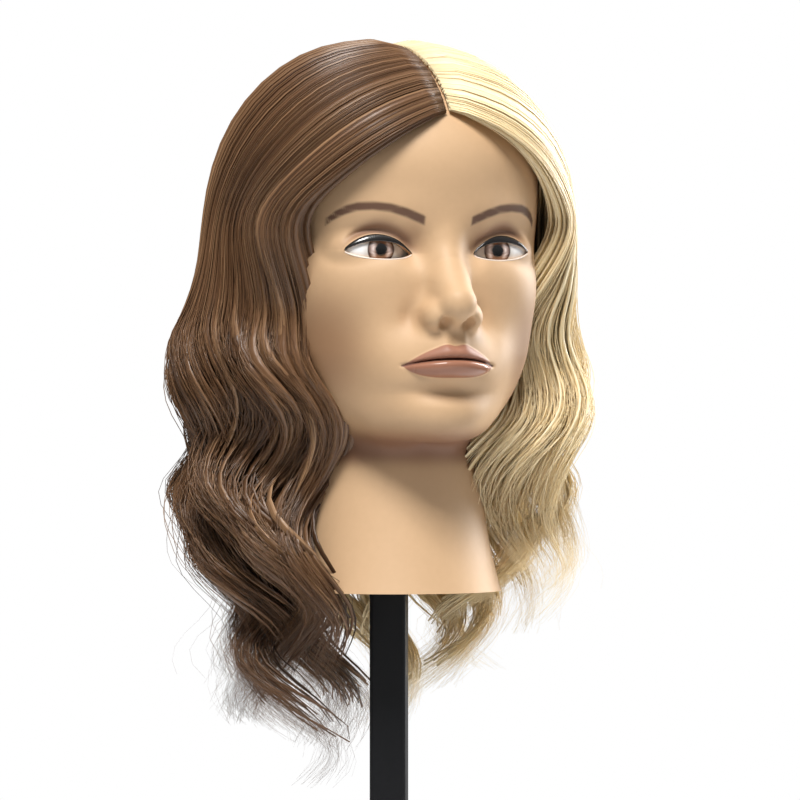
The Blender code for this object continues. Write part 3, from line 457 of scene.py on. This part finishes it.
# Painted shade under the chin, where the jaw's shadow falls on the neck.
shadow = shadow + 1.1 * bell(z - 75, 9) * ease(y, 0, -30)
remember(head_mesh, "shadow", shadow)
# Airbrushed contour with painted shade on the cheeks' sides; painted shade beside the nose and lip.
cheek_contour_and_shade = 1.3 * bell(x - 60, 22) * bell(z - 122, 36)
shade_beside_nose = 0.45 * bell(x - 20, 9) * bell(z - 142, 9)
shade_under_lip = 0.5 * bell(x, 18) * bell(z - 104, 5)
# Painted shade under the chin.
shade_under_chin = 0.9 * bell(z - 76, 11)
remember(head_mesh, "warmth", (cheek_contour_and_shade + shade_beside_nose + shade_under_lip) * facing + shade_under_chin)
head_mesh.transform(HEAD_PLACE)
head_mesh.shade_smooth()
head_mesh.set_sharp_from_angle(angle=math.radians(50))

skin, shader = material("vinyl_skin", (0.6, 0.4, 0.24), 0.46)
noise = grain(skin, shader, 260, (0.40, 0.50), 0.04)
shader.inputs["Specular IOR Level"].default_value = 0.4


def painted(made, under, colour, attribute, low, high, strength=1.0):
    """Lays a paint over a colour, where an attribute passes from low to high."""
    read = part_of(made, "ShaderNodeAttribute", attribute_name=attribute)
    mask = part_of(made, "ShaderNodeMapRange", interpolation_type="SMOOTHSTEP", From_Min=low, From_Max=high,
                   To_Max=strength)
    mix = part_of(made, "ShaderNodeMix", data_type="RGBA")
    mix.inputs[7].default_value = (*colour, 1)
    wire(made, read.outputs["Fac"], mask.inputs["Value"])
    wire(made, mask.outputs["Result"], mix.inputs[0])
    wire(made, under, mix.inputs[6])
    return mix.outputs[2], mask.outputs["Result"]


base = part_of(skin, "ShaderNodeMix", data_type="RGBA")
base.inputs[6].default_value = (0.60, 0.395, 0.228, 1)
base.inputs[7].default_value = (0.64, 0.425, 0.248, 1)
wire(skin, noise.outputs["Fac"], base.inputs[0])
# Airbrushed contour with painted shade, on the cheeks and in the recesses of the face.
tone, _ = painted(skin, base.outputs[2], (0.25, 0.125, 0.06), "warmth", 0.0, 1.3, 0.8)
# Airbrushed eye shadow, with painted shade in the creases, the sockets and under the chin.
tone, _ = painted(skin, tone, (0.19, 0.085, 0.05), "shadow", 0.08, 1.1, 0.8)
tone, _ = painted(skin, tone, (0.085, 0.036, 0.024), "brow", -0.9, 1.0, 0.9)
tone, lips = painted(skin, tone, (0.33, 0.145, 0.092), "lip", -0.35, 0.45, 0.95)
# Painted shade: a dark line along the crease where the lips part.
tone, _ = painted(skin, tone, (0.07, 0.022, 0.018), "parting", 1.0, 0.1, 0.75)
wire(skin, tone, shader.inputs["Base Color"])
lower_lip = part_of(skin, "ShaderNodeAttribute", attribute_name="lower_lip")
glossy = part_of(skin, "ShaderNodeMath", operation="MULTIPLY")
gloss = part_of(skin, "ShaderNodeMapRange", To_Min=0.55, To_Max=0.2)
wire(skin, lips, glossy.inputs[0])
wire(skin, lower_lip.outputs["Fac"], glossy.inputs[1])
wire(skin, glossy.outputs["Value"], gloss.inputs["Value"])
wire(skin, gloss.outputs["Result"], shader.inputs["Roughness"])
head = put("head_skin", head_mesh, skin, "head")
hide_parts("head_shell")

# ---------------------------------------------------------------------------------------------------
# Eyes
# Domed acrylic eyes held by the foam behind the lids: white with a printed brown iris under a clear
# coat, and two pale arcs of painted glint in each iris for the lamps' reflections. A pale moulded rim
# follows the lower lid, and a glossy black lash line is glued to the upper.

IRIS = np.array((32, 176.2)) * MM
IRIS_RADIUS = 7.3
PUPIL_RADIUS = 3.0

eye_paint, shader = material("painted_eye", (0.8, 0.78, 0.75), 0.12)
shader.inputs["Coat Weight"].default_value = 1.0
shader.inputs["Coat Roughness"].default_value = 0.03
radius = part_of(eye_paint, "ShaderNodeAttribute", attribute_name="iris_mm")
rings = part_of(eye_paint, "ShaderNodeValToRGB")
scaled = part_of(eye_paint, "ShaderNodeMapRange", From_Max=10.0)
wire(eye_paint, radius.outputs["Fac"], scaled.inputs["Value"])
wire(eye_paint, scaled.outputs["Result"], rings.inputs["Fac"])
stops = [(0.0, (0.003, 0.003, 0.003)), (PUPIL_RADIUS / 10, (0.004, 0.003, 0.003)),
         (PUPIL_RADIUS / 10 + 0.03, (0.16, 0.075, 0.045)), (0.47, (0.30, 0.155, 0.10)),
         (0.60, (0.14, 0.06, 0.035)), (IRIS_RADIUS / 10 - 0.03, (0.05, 0.02, 0.013)),
         (IRIS_RADIUS / 10 + 0.02, (0.75, 0.72, 0.69)), (1.0, (0.83, 0.81, 0.79))]
for place, colour in stops:
    stop = rings.color_ramp.elements.new(place)
    stop.color = (*colour, 1)
rings.color_ramp.elements.remove(rings.color_ramp.elements[-1])
# A painted glint: two pale arcs in the iris, standing for reflections of the lamps in the coat.
painted_glint = part_of(eye_paint, "ShaderNodeAttribute", attribute_name="painted_glint")
painted_glint_mix = part_of(eye_paint, "ShaderNodeMix", data_type="RGBA")
painted_glint_mix.inputs[7].default_value = (0.9, 0.78, 0.74, 1)
wire(eye_paint, painted_glint.outputs["Fac"], painted_glint_mix.inputs[0])
wire(eye_paint, rings.outputs["Color"], painted_glint_mix.inputs[6])
wire(eye_paint, painted_glint_mix.outputs[2], shader.inputs["Base Color"])

liner, shader = material("lash_black", (0.006, 0.005, 0.005), 0.22)
shader.inputs["Coat Weight"].default_value = 0.6
tinted(liner, shader, grain(liner, shader, 1500, (0.16, 0.3), 0.3, (1, 1, 0.2)), (0.004, 0.004, 0.004),
       (0.014, 0.011, 0.010))
rim_paint, shader = material("lid_rim", (0.8, 0.68, 0.58), 0.3)
tinted(rim_paint, shader, grain(rim_paint, shader, 900, (0.25, 0.4), 0.1), (0.78, 0.64, 0.53),
       (0.86, 0.75, 0.66))


def cord_of(name, route, radii, sides=3):
    """A round strip along a route, with its radius at each point."""
    strip = bpy.data.curves.new(name, "CURVE")
    strip.dimensions = "3D"
    strip.bevel_depth = 1
    strip.bevel_resolution = sides
    strip.use_fill_caps = True
    line = strip.splines.new("POLY")
    line.points.add(len(route) - 1)
    line.points.foreach_set("co", np.concatenate([route, np.ones((len(route), 1))], axis=1).ravel())
    line.points.foreach_set("radius", radii)
    thing = bpy.data.objects.new(name, strip)
    mesh = bpy.data.meshes.new_from_object(thing)
    bpy.data.objects.remove(thing)
    mesh.name = name
    return mesh


def on_lid(x, z, level):
    """Points in front of the lid at x and z, at a height over its skin."""
    starts = np.stack([x, np.full_like(x, EYE_CENTRE[1]), z], axis=1)
    return pushed_out(head_form, starts, np.tile((0.0, -1.0, 0.0), (len(x), 1)), level)


def lash_band(side, name):
    """A ball drawn out along the lid: tall in the middle, pointed at both corners, bulging forward."""
    shape = bmesh.new()
    bmesh.ops.create_uvsphere(shape, u_segments=16, v_segments=48, radius=1)
    mesh = bpy.data.meshes.new(name)
    shape.to_mesh(mesh)
    shape.free()
    ball = corners_of(mesh)
    x = SLIT_CENTRE[0] + 17.0 * MM * np.arcsin(np.clip(ball[:, 2], -1, 1)) / (math.pi / 2)
    upper = lid_ridge(x / MM) * MM - 0.2 * MM
    lower = np.minimum(slit_edge(x, True) - 0.3 * MM, upper - 0.3 * MM)
    lean = np.arctan2(ball[:, 1], ball[:, 0])
    z = (upper + lower) / 2 + (upper - lower) / 2 * np.sin(lean)
    places = on_lid(x, z, 0.05 * MM)
    places[:, 1] -= 0.55 * MM * np.cos(lean) * np.clip((upper - lower) / (2 * MM), 0.2, 1)
    places[:, 0] *= side
    mesh.vertices.foreach_set("co", places.ravel())
    shape = bmesh.new()
    shape.from_mesh(mesh)
    if shape.calc_volume(signed=True) < 0:
        bmesh.ops.reverse_faces(shape, faces=shape.faces)
    shape.to_mesh(mesh)
    shape.free()
    return mesh


for side, name in ((-1, "right"), (1, "left")):
    mesh = eye_ball(side, 0, 96, 48, f"eye_{name}_painted")
    places = corners_of(mesh)
    off_x = places[:, 0] * side - IRIS[0]
    off_z = places[:, 2] - IRIS[1]
    away = np.hypot(off_x, off_z) / MM
    remember(mesh, "iris_mm", away)
    turn = np.abs(off_x) / np.maximum(away * MM, 1e-6)
    # Where the painted glint lies: arcs left and right of the pupil.
    remember(mesh, "painted_glint", ease(turn, 0.5, 0.85) * bell(away - 4.7, 0.85))
    mesh.transform(HEAD_PLACE)
    mesh.shade_smooth()
    eye = put(f"eye_{name}_painted", mesh, eye_paint, "head")
    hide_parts(f"eye_{name}")

    mesh = lash_band(side, f"lash_line_{name}")
    mesh.transform(HEAD_PLACE)
    mesh.shade_smooth()
    lash = put(f"lash_line_{name}", mesh, liner, "head")
    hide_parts(f"lash_{name}")

    share = np.linspace(-0.99, 0.99, 33)
    x = SLIT_CENTRE[0] + SLIT_HALF * share
    route = on_lid(x, slit_edge(x, False) - 0.2 * MM, -0.15 * MM)
    route[:, 0] *= side
    mesh = cord_of(f"lower_rim_{name}", route, np.full(33, 0.42 * MM))
    mesh.transform(HEAD_PLACE)
    mesh.shade_smooth()
    put(f"lower_rim_{name}", mesh, rim_paint, "head")

# ---------------------------------------------------------------------------------------------------
# Hair
# Real hair, knotted strand by strand into the scalp and parted in the middle: brown on the head's
# right, blonde on its left. It is combed down over the ears and set in loose waves with ragged ends.

SKULL_CENTRE = np.array((0, 2, 207)) * MM
STRAND_POINTS = 48
COMBED_POINTS = 13
LOCKS = 440  # on each side
STRANDS = 2040
LOCKS_PER_PIECE = 220
STRANDS_PER_PIECE = 680
BUNDLES = 15
LOCK_HALF_WIDTH = 4.3  # mm
LOCK_FLATNESS = 0.2
STRAND_RADIUS = 0.3  # mm
TIP_SPREAD = 20  # mm
LOCKS_END_SOONER = 24  # mm
STRAY_SHARE = 0.13
STRAY_REACH = 15  # mm
PART_TILT = (math.radians(65), math.radians(-64))  # from upright, at the forehead and behind the crown
LAYER_AT_PART = 9 * MM
LAYER_AT_SIDE = 21 * MM
WAVE_LENGTH = 96 * MM
SCALP_STEPS = (20, 12)  # of the table of the skull, along the parting and down to the side


def smooth_curve(value, places, heights):
    """A curve through a few points, eased between them."""
    index = np.clip(np.searchsorted(places, value) - 1, 0, len(places) - 2)
    places, heights = np.array(places, float), np.array(heights, float)
    share = np.clip((value - places[index]) / (places[index + 1] - places[index]), 0, 1)
    share = share * share * (3 - 2 * share)
    return heights[index] * (1 - share) + heights[index + 1] * share


def comb_ways(side, along, across):
    """Unit directions from the skull's centre, combed from the parting (across 0) to the side (1)."""
    tilt = PART_TILT[0] + (PART_TILT[1] - PART_TILT[0]) * along
    start = np.stack([0.015 * side + 0 * tilt, -np.sin(tilt), np.cos(tilt)], axis=-1)
    start /= np.linalg.norm(start, axis=-1)[..., None]
    turn = np.radians(fall_turn(along))
    end = np.stack([side * np.sin(turn), -np.cos(turn), -0.12 + 0 * turn], axis=-1)
    end /= np.linalg.norm(end, axis=-1)[..., None]
    angle = np.arccos(np.clip((start * end).sum(-1), -1, 1))[..., None]
    share = across[..., None]
    return (start * np.sin((1 - share) * angle) + end * np.sin(share * angle)) / np.sin(angle)


def fall_turn(along):
    """Degrees from the face to where a comb line leaves the skull."""
    return 51 + 127 * along ** 0.85


class Style:
    """One side's hair: where it falls and how far, with heights in mm above the neck's rim."""

    def __init__(self, side, name, turns, heights, reach, end_turns, ends, phase, seed):
        self.side, self.name, self.phase, self.pieces = side, name, phase, []
        self.turns, self.heights, self.reach = turns, heights, np.array(reach, float)
        self.end_turns, self.ends = end_turns, ends
        self.chance = np.random.default_rng(seed)

    def radius(self, turn, height):
        """Outer radius of the hanging hair in metres."""
        rows = [smooth_curve(-height / MM, [-h for h in self.heights], row) for row in self.reach]
        result = rows[0]
        for low, high, row in zip(self.turns, self.turns[1:], rows[1:]):
            result = result + (row - result) * ease(turn, low, high)
        return result * MM


BROWN = Style(-1, "brown", (53, 108, 178), (207, 160, 128, 95, 60, 20, -20, -60, -95),
              ((81, 78, 72, 66, 66, 72, 70, 62, 52), (104, 103, 109, 112, 108, 92, 80, 70, 50),
               (92, 96, 99, 99, 94, 84, 74, 64, 50)), (53, 80, 115, 178), (-66, -90, -58, -80), 2.3, 11)
BLONDE = Style(1, "blonde", (53, 72, 178), (207, 160, 128, 95, 60, 20, -20, -60, -95),
               ((81, 77, 71, 62, 57, 61, 66, 64, 58), (102, 99, 98, 98, 99, 88, 77, 68, 56),
                (92, 96, 99, 97, 90, 82, 72, 62, 54)), (53, 85, 120, 178), (10, 0, -48, -72), 1.7, 23)


def scalp_table(side):
    """Distance from the skull's centre to the skin over a grid of comb lines."""
    along, across = np.meshgrid(*[np.linspace(0, 1, steps + 1) for steps in SCALP_STEPS], indexing="ij")
    ways = comb_ways(side, along.ravel(), across.ravel())
    starts = np.tile(SKULL_CENTRE, (len(ways), 1))
    reach = np.linalg.norm(pushed_out(bare_skull, starts, ways) - SKULL_CENTRE, axis=1)
    return reach.reshape(along.shape)


def bare_skull(p):
    """The form that the hair is combed over: no ears or features, and the forehead set back."""
    brow = bell(p[..., 2] - 198 * MM, 24 * MM) * ease(p[..., 1], -30 * MM, -60 * MM)
    return bare_form(folded(p)) + 5.0 * MM * brow


def read_table(table, along, across):
    """The table at any place on it, read between its four nearest entries."""
    a, b = along * SCALP_STEPS[0], across * SCALP_STEPS[1]
    i = np.clip(a.astype(int), 0, SCALP_STEPS[0] - 1)
    j = np.clip(b.astype(int), 0, SCALP_STEPS[1] - 1)
    a, b = a - i, b - j
    low = table[i, j] * (1 - b) + table[i, j + 1] * b
    high = table[i + 1, j] * (1 - b) + table[i + 1, j + 1] * b
    return low * (1 - a) + high * a


def strand_routes(style, along, layer, clump_turn, phase, stretch, curl, drop_to, stray):
    """Routes of strands in the head's frame: combed over the skull, then hanging in waves."""
    side, count = style.side, len(along)
    share = np.linspace(0, 1, COMBED_POINTS)
    table = scalp_table(side)
    a = np.repeat(along[:, None], COMBED_POINTS, axis=1)
    t = np.repeat(share[None, :], count, axis=0)
    ways = comb_ways(side, a, t)
    lift = LAYER_AT_PART * (0.25 + 0.75 * ease(t, 0, 0.2)) + (LAYER_AT_SIDE - LAYER_AT_PART) * t ** 1.3
    lift = 0.8 * MM + lift * (0.12 + 0.88 * layer[:, None])
    combed = SKULL_CENTRE + ways * (read_table(table, a, t) + lift)[..., None]
    last = combed[:, -1]
    turn0 = np.degrees(np.arctan2(side * last[:, 0], -last[:, 1]))
    radius0 = np.hypot(last[:, 0], last[:, 1])
    hang = STRAND_POINTS - COMBED_POINTS
    down = np.linspace(0, 1, hang + 1)[1:][None, :]
    z = last[:, 2:] + (drop_to[:, None] - last[:, 2:]) * down
    depth = last[:, 2:] - z
    grow = ease(depth, 15 * MM, 120 * MM)
    gather = 1 - 0.55 * ease(depth, 40 * MM, 220 * MM)
    turn = clump_turn[:, None] + (turn0 - clump_turn)[:, None] * gather
    outer = style.radius(turn, z)
    thick = LAYER_AT_SIDE + 10 * MM * ease(depth, 0, 120 * MM)
    target = outer - thick * (1 - layer[:, None]) * (0.45 + 0.55 * gather)
    radius = radius0[:, None] + (target - radius0[:, None]) * ease(depth, 0, 55 * MM)
    swing = 2 * math.pi * (last[:, 2:] - z) / (WAVE_LENGTH * stretch[:, None]) + phase[:, None]
    size = curl[:, None] * grow * (1 + 0.45 * ease(depth, 120 * MM, 260 * MM))
    radius = radius + size * np.sin(swing) + stray[:, None] * ease(depth, 60 * MM, 260 * MM) * 0.6
    turn = turn + np.degrees(size * 1.15 * np.cos(swing) / np.maximum(radius, 40 * MM))
    flat = np.radians(turn)
    falling = np.stack([side * radius * np.sin(flat), -radius * np.cos(flat), z], axis=-1)
    routes = np.concatenate([combed, falling], axis=1)
    bend = slice(2, COMBED_POINTS + 6)
    before, after = slice(bend.start - 1, bend.stop - 1), slice(bend.start + 1, bend.stop + 1)
    for _ in range(5):
        routes[:, bend] = (routes[:, before] + 2 * routes[:, bend] + routes[:, after]) / 4
    return routes


def tubes(name, routes, widths, sides, flat):
    """Closed tubes in one mesh, along routes with as many points each. A flat under 1 makes locks of them."""
    ring = bpy.data.curves.new("ring", "CURVE")
    ring.dimensions = "2D"
    edge = ring.splines.new("POLY")
    edge.points.add(sides - 1)
    turn = np.arange(sides) * 2 * math.pi / sides
    corners = np.stack([np.cos(turn), np.sin(turn), 0 * turn, 1 + 0 * turn], axis=1)
    edge.points.foreach_set("co", corners.ravel())
    edge.use_cyclic_u = True
    ring_object = bpy.data.objects.new("ring", ring)
    bundle = bpy.data.curves.new(name, "CURVE")
    bundle.dimensions = "3D"
    bundle.bevel_mode = "OBJECT"
    bundle.bevel_object = ring_object
    count, length = routes.shape[:2]
    places = np.concatenate([routes, np.ones((count, length, 1))], axis=2)
    for route in places:
        line = bundle.splines.new("POLY")
        line.points.add(length - 1)
        line.points.foreach_set("co", route.ravel())
    thing = bpy.data.objects.new(name, bundle)
    for needed in (ring_object, thing):
        bpy.context.scene.collection.objects.link(needed)
    mesh = bpy.data.meshes.new_from_object(thing.evaluated_get(bpy.context.evaluated_depsgraph_get()))
    bpy.data.objects.remove(thing)
    bpy.data.objects.remove(ring_object)
    mesh.name = name
    ahead = np.gradient(routes, axis=1)
    ahead /= np.linalg.norm(ahead, axis=2)[..., None]
    outward = routes - np.stack([0 * routes[..., 0], SKULL_CENTRE[1] + 0 * routes[..., 0],
                                 np.minimum(routes[..., 2], SKULL_CENTRE[2])], axis=2)
    outward -= (outward * ahead).sum(2)[..., None] * ahead
    outward /= np.linalg.norm(outward, axis=2)[..., None]
    across = np.cross(ahead, outward)
    rounds = (np.cos(turn)[:, None] * across[:, :, None] + flat * np.sin(turn)[:, None] * outward[:, :, None])
    rounds = routes[:, :, None] + widths[:, :, None, None] * rounds
    mesh.vertices.foreach_set("co", rounds.astype(np.float32).ravel())
    shape = bmesh.new()
    shape.from_mesh(mesh)
    bmesh.ops.holes_fill(shape, edges=[e for e in shape.edges if e.is_boundary], sides=sides)
    bmesh.ops.recalc_face_normals(shape, faces=shape.faces)
    shape.to_mesh(mesh)
    shape.free()
    per = length * sides
    columns = 40
    rows = -(-count // columns)
    index = np.arange(len(mesh.vertices))
    strand, step, corner = index // per, (index % per) // sides, index % sides
    u = (strand % columns + 0.1 + 0.8 * corner / (sides - 1)) / columns
    v = (strand // columns + 0.05 + 0.9 * step / (length - 1)) / rows
    loops = np.empty(len(mesh.loops), int)
    mesh.loops.foreach_get("vertex_index", loops)
    layer = mesh.uv_layers.new(name="OFBake")
    layer.data.foreach_set("uv", np.stack([u[loops], v[loops]], axis=1).astype(np.float32).ravel())
    mesh.shade_smooth()
    remember(mesh, "across", np.cos(turn)[corner] * widths[strand, step] / MM)
    remember(mesh, "along", step / (length - 1))
    return mesh, strand


def hair_material(name, dark, middle, light, roughness, under_layer_shade):
    """Hair shaded fibre by fibre: fine streaks along every lock, and painted shade on the under-layers."""
    made, shader = material(name, middle, roughness)
    across = part_of(made, "ShaderNodeAttribute", attribute_name="across")
    along = part_of(made, "ShaderNodeAttribute", attribute_name="along")
    lock = part_of(made, "ShaderNodeAttribute", attribute_name="lock")
    place = part_of(made, "ShaderNodeCombineXYZ")
    wire(made, across.outputs["Fac"], place.inputs["X"])
    wire(made, along.outputs["Fac"], place.inputs["Y"])
    wire(made, lock.outputs["Fac"], place.inputs["Z"])
    fibres = part_of(made, "ShaderNodeMapping")
    fibres.inputs["Scale"].default_value = (2.6, 2.0, 1.0)
    noise = part_of(made, "ShaderNodeTexNoise", Scale=1.0, Detail=3.0, Roughness=0.65)
    wire(made, place.outputs["Vector"], fibres.inputs["Vector"])
    wire(made, fibres.outputs["Vector"], noise.inputs["Vector"])
    tone = part_of(made, "ShaderNodeAttribute", attribute_name="tone")
    streaks = part_of(made, "ShaderNodeMath", operation="MULTIPLY_ADD")
    streaks.inputs[1].default_value = 1.5
    centred = part_of(made, "ShaderNodeMath", operation="SUBTRACT")
    centred.inputs[1].default_value = 0.75
    wire(made, noise.outputs["Fac"], streaks.inputs[0])
    wire(made, tone.outputs["Fac"], streaks.inputs[2])
    wire(made, streaks.outputs["Value"], centred.inputs[0])
    ramp = part_of(made, "ShaderNodeValToRGB")
    ramp.color_ramp.elements[0].color = (*dark, 1)
    ramp.color_ramp.elements[1].color = (*light, 1)
    ramp.color_ramp.elements.new(0.5).color = (*middle, 1)
    wire(made, centred.outputs["Value"], ramp.inputs["Fac"])
    # Painted shade: strands in the under-layers are darkened.
    colour, _ = painted(made, ramp.outputs["Color"], [c * under_layer_shade for c in dark], "under", 0.0, 1.0, 0.9)
    wire(made, colour, shader.inputs["Base Color"])
    bump = part_of(made, "ShaderNodeBump", Strength=0.45, Distance=0.0005)
    wire(made, noise.outputs["Fac"], bump.inputs["Height"])
    wire(made, bump.outputs["Normal"], shader.inputs["Normal"])
    return made


def grow_hair(style, made, locks, strands):
    """One side's hair: wavy bundles, each of flat tapered locks with single strands over them."""
    chance = style.chance
    middle = (np.arange(BUNDLES) + 0.5) / BUNDLES + chance.normal(0, 0.2 / BUNDLES, BUNDLES)
    bundle_turn = fall_turn(middle) + chance.normal(0, 2.0, BUNDLES)
    bundle_phase = style.phase + 1.5 * np.sin(middle * 5.5) + chance.normal(0, 0.7, BUNDLES)
    bundle_stretch = chance.uniform(0.9, 1.14, BUNDLES)
    bundle_curl = chance.uniform(8.5, 14.5, BUNDLES) * MM
    bundle_drop = smooth_curve(bundle_turn, style.end_turns, style.ends) + chance.normal(0, 9, BUNDLES)
    step = np.arange(STRAND_POINTS) / (STRAND_POINTS - 1)
    for kind, count, most, sides, flat in (("locks", locks, LOCKS_PER_PIECE, 6, LOCK_FLATNESS),
                                           ("strands", strands, STRANDS_PER_PIECE, 3, 1.0)):
        fine = kind == "strands"
        along = np.sort(chance.random(count))
        near = np.abs(along[:, None] - middle[None, :] + chance.normal(0, 0.22 / BUNDLES, (count, 1)))
        pick = near.argmin(axis=1)
        layer = chance.random(count) ** (0.35 if fine else 0.6)
        layer = layer + 0.08 * fine
        spread = TIP_SPREAD * np.abs(chance.normal(0, 1, count)) ** 1.3
        drop = (bundle_drop[pick] + LOCKS_END_SOONER * (not fine) + spread) * MM
        loose = fine * (chance.random(count) < STRAY_SHARE)
        stray = np.where(loose, np.abs(chance.normal(0, STRAY_REACH, count)),
                         chance.normal(0, 0.9, count)) * MM
        routes = strand_routes(style, along, layer, bundle_turn[pick] + chance.normal(0, 1.2, count),
                               bundle_phase[pick] + chance.normal(0, 0.16 + 0.3 * loose, count),
                               bundle_stretch[pick] * chance.normal(1, 0.015, count),
                               bundle_curl[pick] * chance.uniform(0.8, 1.2, count), drop, stray)
        if fine:
            width = STRAND_RADIUS * (1 - 0.5 * step) * np.clip((1 - step) * 4, 0.25, 1)
        else:
            width = LOCK_HALF_WIDTH * np.clip(0.35 + 2.2 * step, 0, 1)
            width = width * np.clip((1 - step) * 2.0, 0.06, 1) ** 0.8
        width = width[None, :] * chance.uniform(0.75, 1.2, count)[:, None] * MM
        tone = np.clip(chance.normal(0.45, 0.09, count) + 0.08 * np.sin(pick * 2.4), 0, 1)
        pieces = -(-count // most)
        for part in range(pieces):
            chosen = np.arange(part, count, pieces)
            name = f"{style.name}_{kind}_{part + 1}"
            mesh, strand = tubes(name, routes[chosen], width[chosen], sides, flat)
            remember(mesh, "tone", tone[chosen][strand])
            remember(mesh, "lock", 3.7 * chosen[strand])
            # How deep a strand lies in the hair, for the painted shade of the under-layers.
            remember(mesh, "under", np.clip(1 - 1.7 * layer[chosen][strand], 0, 1))
            mesh.transform(HEAD_PLACE)
            style.pieces.append(put(name, mesh, made, "head"))
    return style.pieces


brown = hair_material("brown_hair", (0.050, 0.023, 0.011), (0.18, 0.090, 0.042), (0.48, 0.29, 0.155),
                      0.34, 0.75)
blonde = hair_material("blonde_hair", (0.76, 0.57, 0.30), (0.94, 0.78, 0.49), (1.0, 0.92, 0.70), 0.36, 0.95)
quick_share = 1.0
for style, made in ((BROWN, brown), (BLONDE, blonde)):
    grown = grow_hair(style, made, LOCKS, int(STRANDS * quick_share))
    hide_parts(f"{style.name}_hair_cap", f"{style.name}_hair_side", f"{style.name}_hair_back")

# ---------------------------------------------------------------------------------------------------
# Picture
# A long lens level with the chin, a white room, a soft light high in front and a tall one behind on
# the right. The pale floor is below the clamp.

world = bpy.data.worlds.new("studio")
world.use_nodes = True
backdrop = world.node_tree.nodes["Background"]
backdrop.inputs["Color"].default_value = (1, 1, 1, 1)
seen = world.node_tree.nodes.new("ShaderNodeLightPath")
level = world.node_tree.nodes.new("ShaderNodeMapRange")
place = world.node_tree.nodes.new("ShaderNodeTexCoord")
split = world.node_tree.nodes.new("ShaderNodeSeparateXYZ")
dome = world.node_tree.nodes.new("ShaderNodeMapRange")
dome.inputs["From Min"].default_value = -0.6
dome.inputs["From Max"].default_value = 0.8
dome.inputs["To Min"].default_value = 0.06
dome.inputs["To Max"].default_value = 0.42
world.node_tree.links.new(place.outputs["Generated"], split.inputs["Vector"])
world.node_tree.links.new(split.outputs["Z"], dome.inputs["Value"])
world.node_tree.links.new(dome.outputs["Result"], level.inputs["To Min"])
world.node_tree.links.new(seen.outputs["Is Camera Ray"], level.inputs["Value"])
world.node_tree.links.new(level.outputs["Result"], backdrop.inputs["Strength"])
bpy.context.scene.world = world
bpy.context.scene.view_settings.view_transform = "Standard"

CAMERA_AWAY = 2.6
CAMERA_TURN = math.radians(5)
LENS_HEIGHT = NECK_BASE + 99.6 * MM
VIEW_WIDTH = 420 * MM  # what the lens takes in at the post
VIEW_SHIFT = 0.01375  # share of the view's width that the post stands left of its middle


def area_light(name, place, target, size, power, colour=(1, 1, 1)):
    lamp = bpy.data.lights.new(name, "AREA")
    lamp.shape = "RECTANGLE"
    lamp.size, lamp.size_y = size
    lamp.energy = power
    lamp.color = colour
    thing = bpy.data.objects.new(name, lamp)
    thing.location = place
    thing.rotation_euler = (Vector(target) - Vector(place)).to_track_quat("-Z", "Y").to_euler()
    bpy.context.scene.collection.objects.link(thing)


MIDDLE = (0, 0, LENS_HEIGHT + 0.03)
area_light("key", (-0.02, -1.15, LENS_HEIGHT + 1.55), MIDDLE, (0.6, 0.6), 46, (1.0, 0.98, 0.95))
area_light("rim", (1.15, 0.95, LENS_HEIGHT + 0.5), MIDDLE, (0.5, 1.2), 34)

FLOOR_DROP = 34 * MM  # the screw and its bar come 29.5 mm lower when the clamp is wide open
floor = bpy.data.meshes.new("floor")
shape = bmesh.new()
bmesh.ops.create_circle(shape, cap_ends=True, segments=96, radius=0.9)
bmesh.ops.translate(shape, verts=shape.verts, vec=(0, 0, cad_low[2] - FLOOR_DROP))
shape.to_mesh(floor)
shape.free()
paper, shader = material("paper", (0.85, 0.85, 0.85), 0.9)
tinted(paper, shader, grain(paper, shader, 40, (0.85, 0.95), 0.1), (0.82, 0.82, 0.82), (0.87, 0.87, 0.87))
put("floor", floor, paper)

lens = bpy.data.cameras.new("camera")
lens.sensor_width = 36
lens.lens = lens.sensor_width * CAMERA_AWAY / VIEW_WIDTH
lens.shift_x = VIEW_SHIFT
lens.clip_end = 20
camera = bpy.data.objects.new("camera", lens)
camera.location = (CAMERA_AWAY * math.sin(CAMERA_TURN), -CAMERA_AWAY * math.cos(CAMERA_TURN), LENS_HEIGHT)
camera.rotation_euler = (math.pi / 2, 0, CAMERA_TURN)
bpy.context.scene.collection.objects.link(camera)
bpy.context.scene.camera = camera
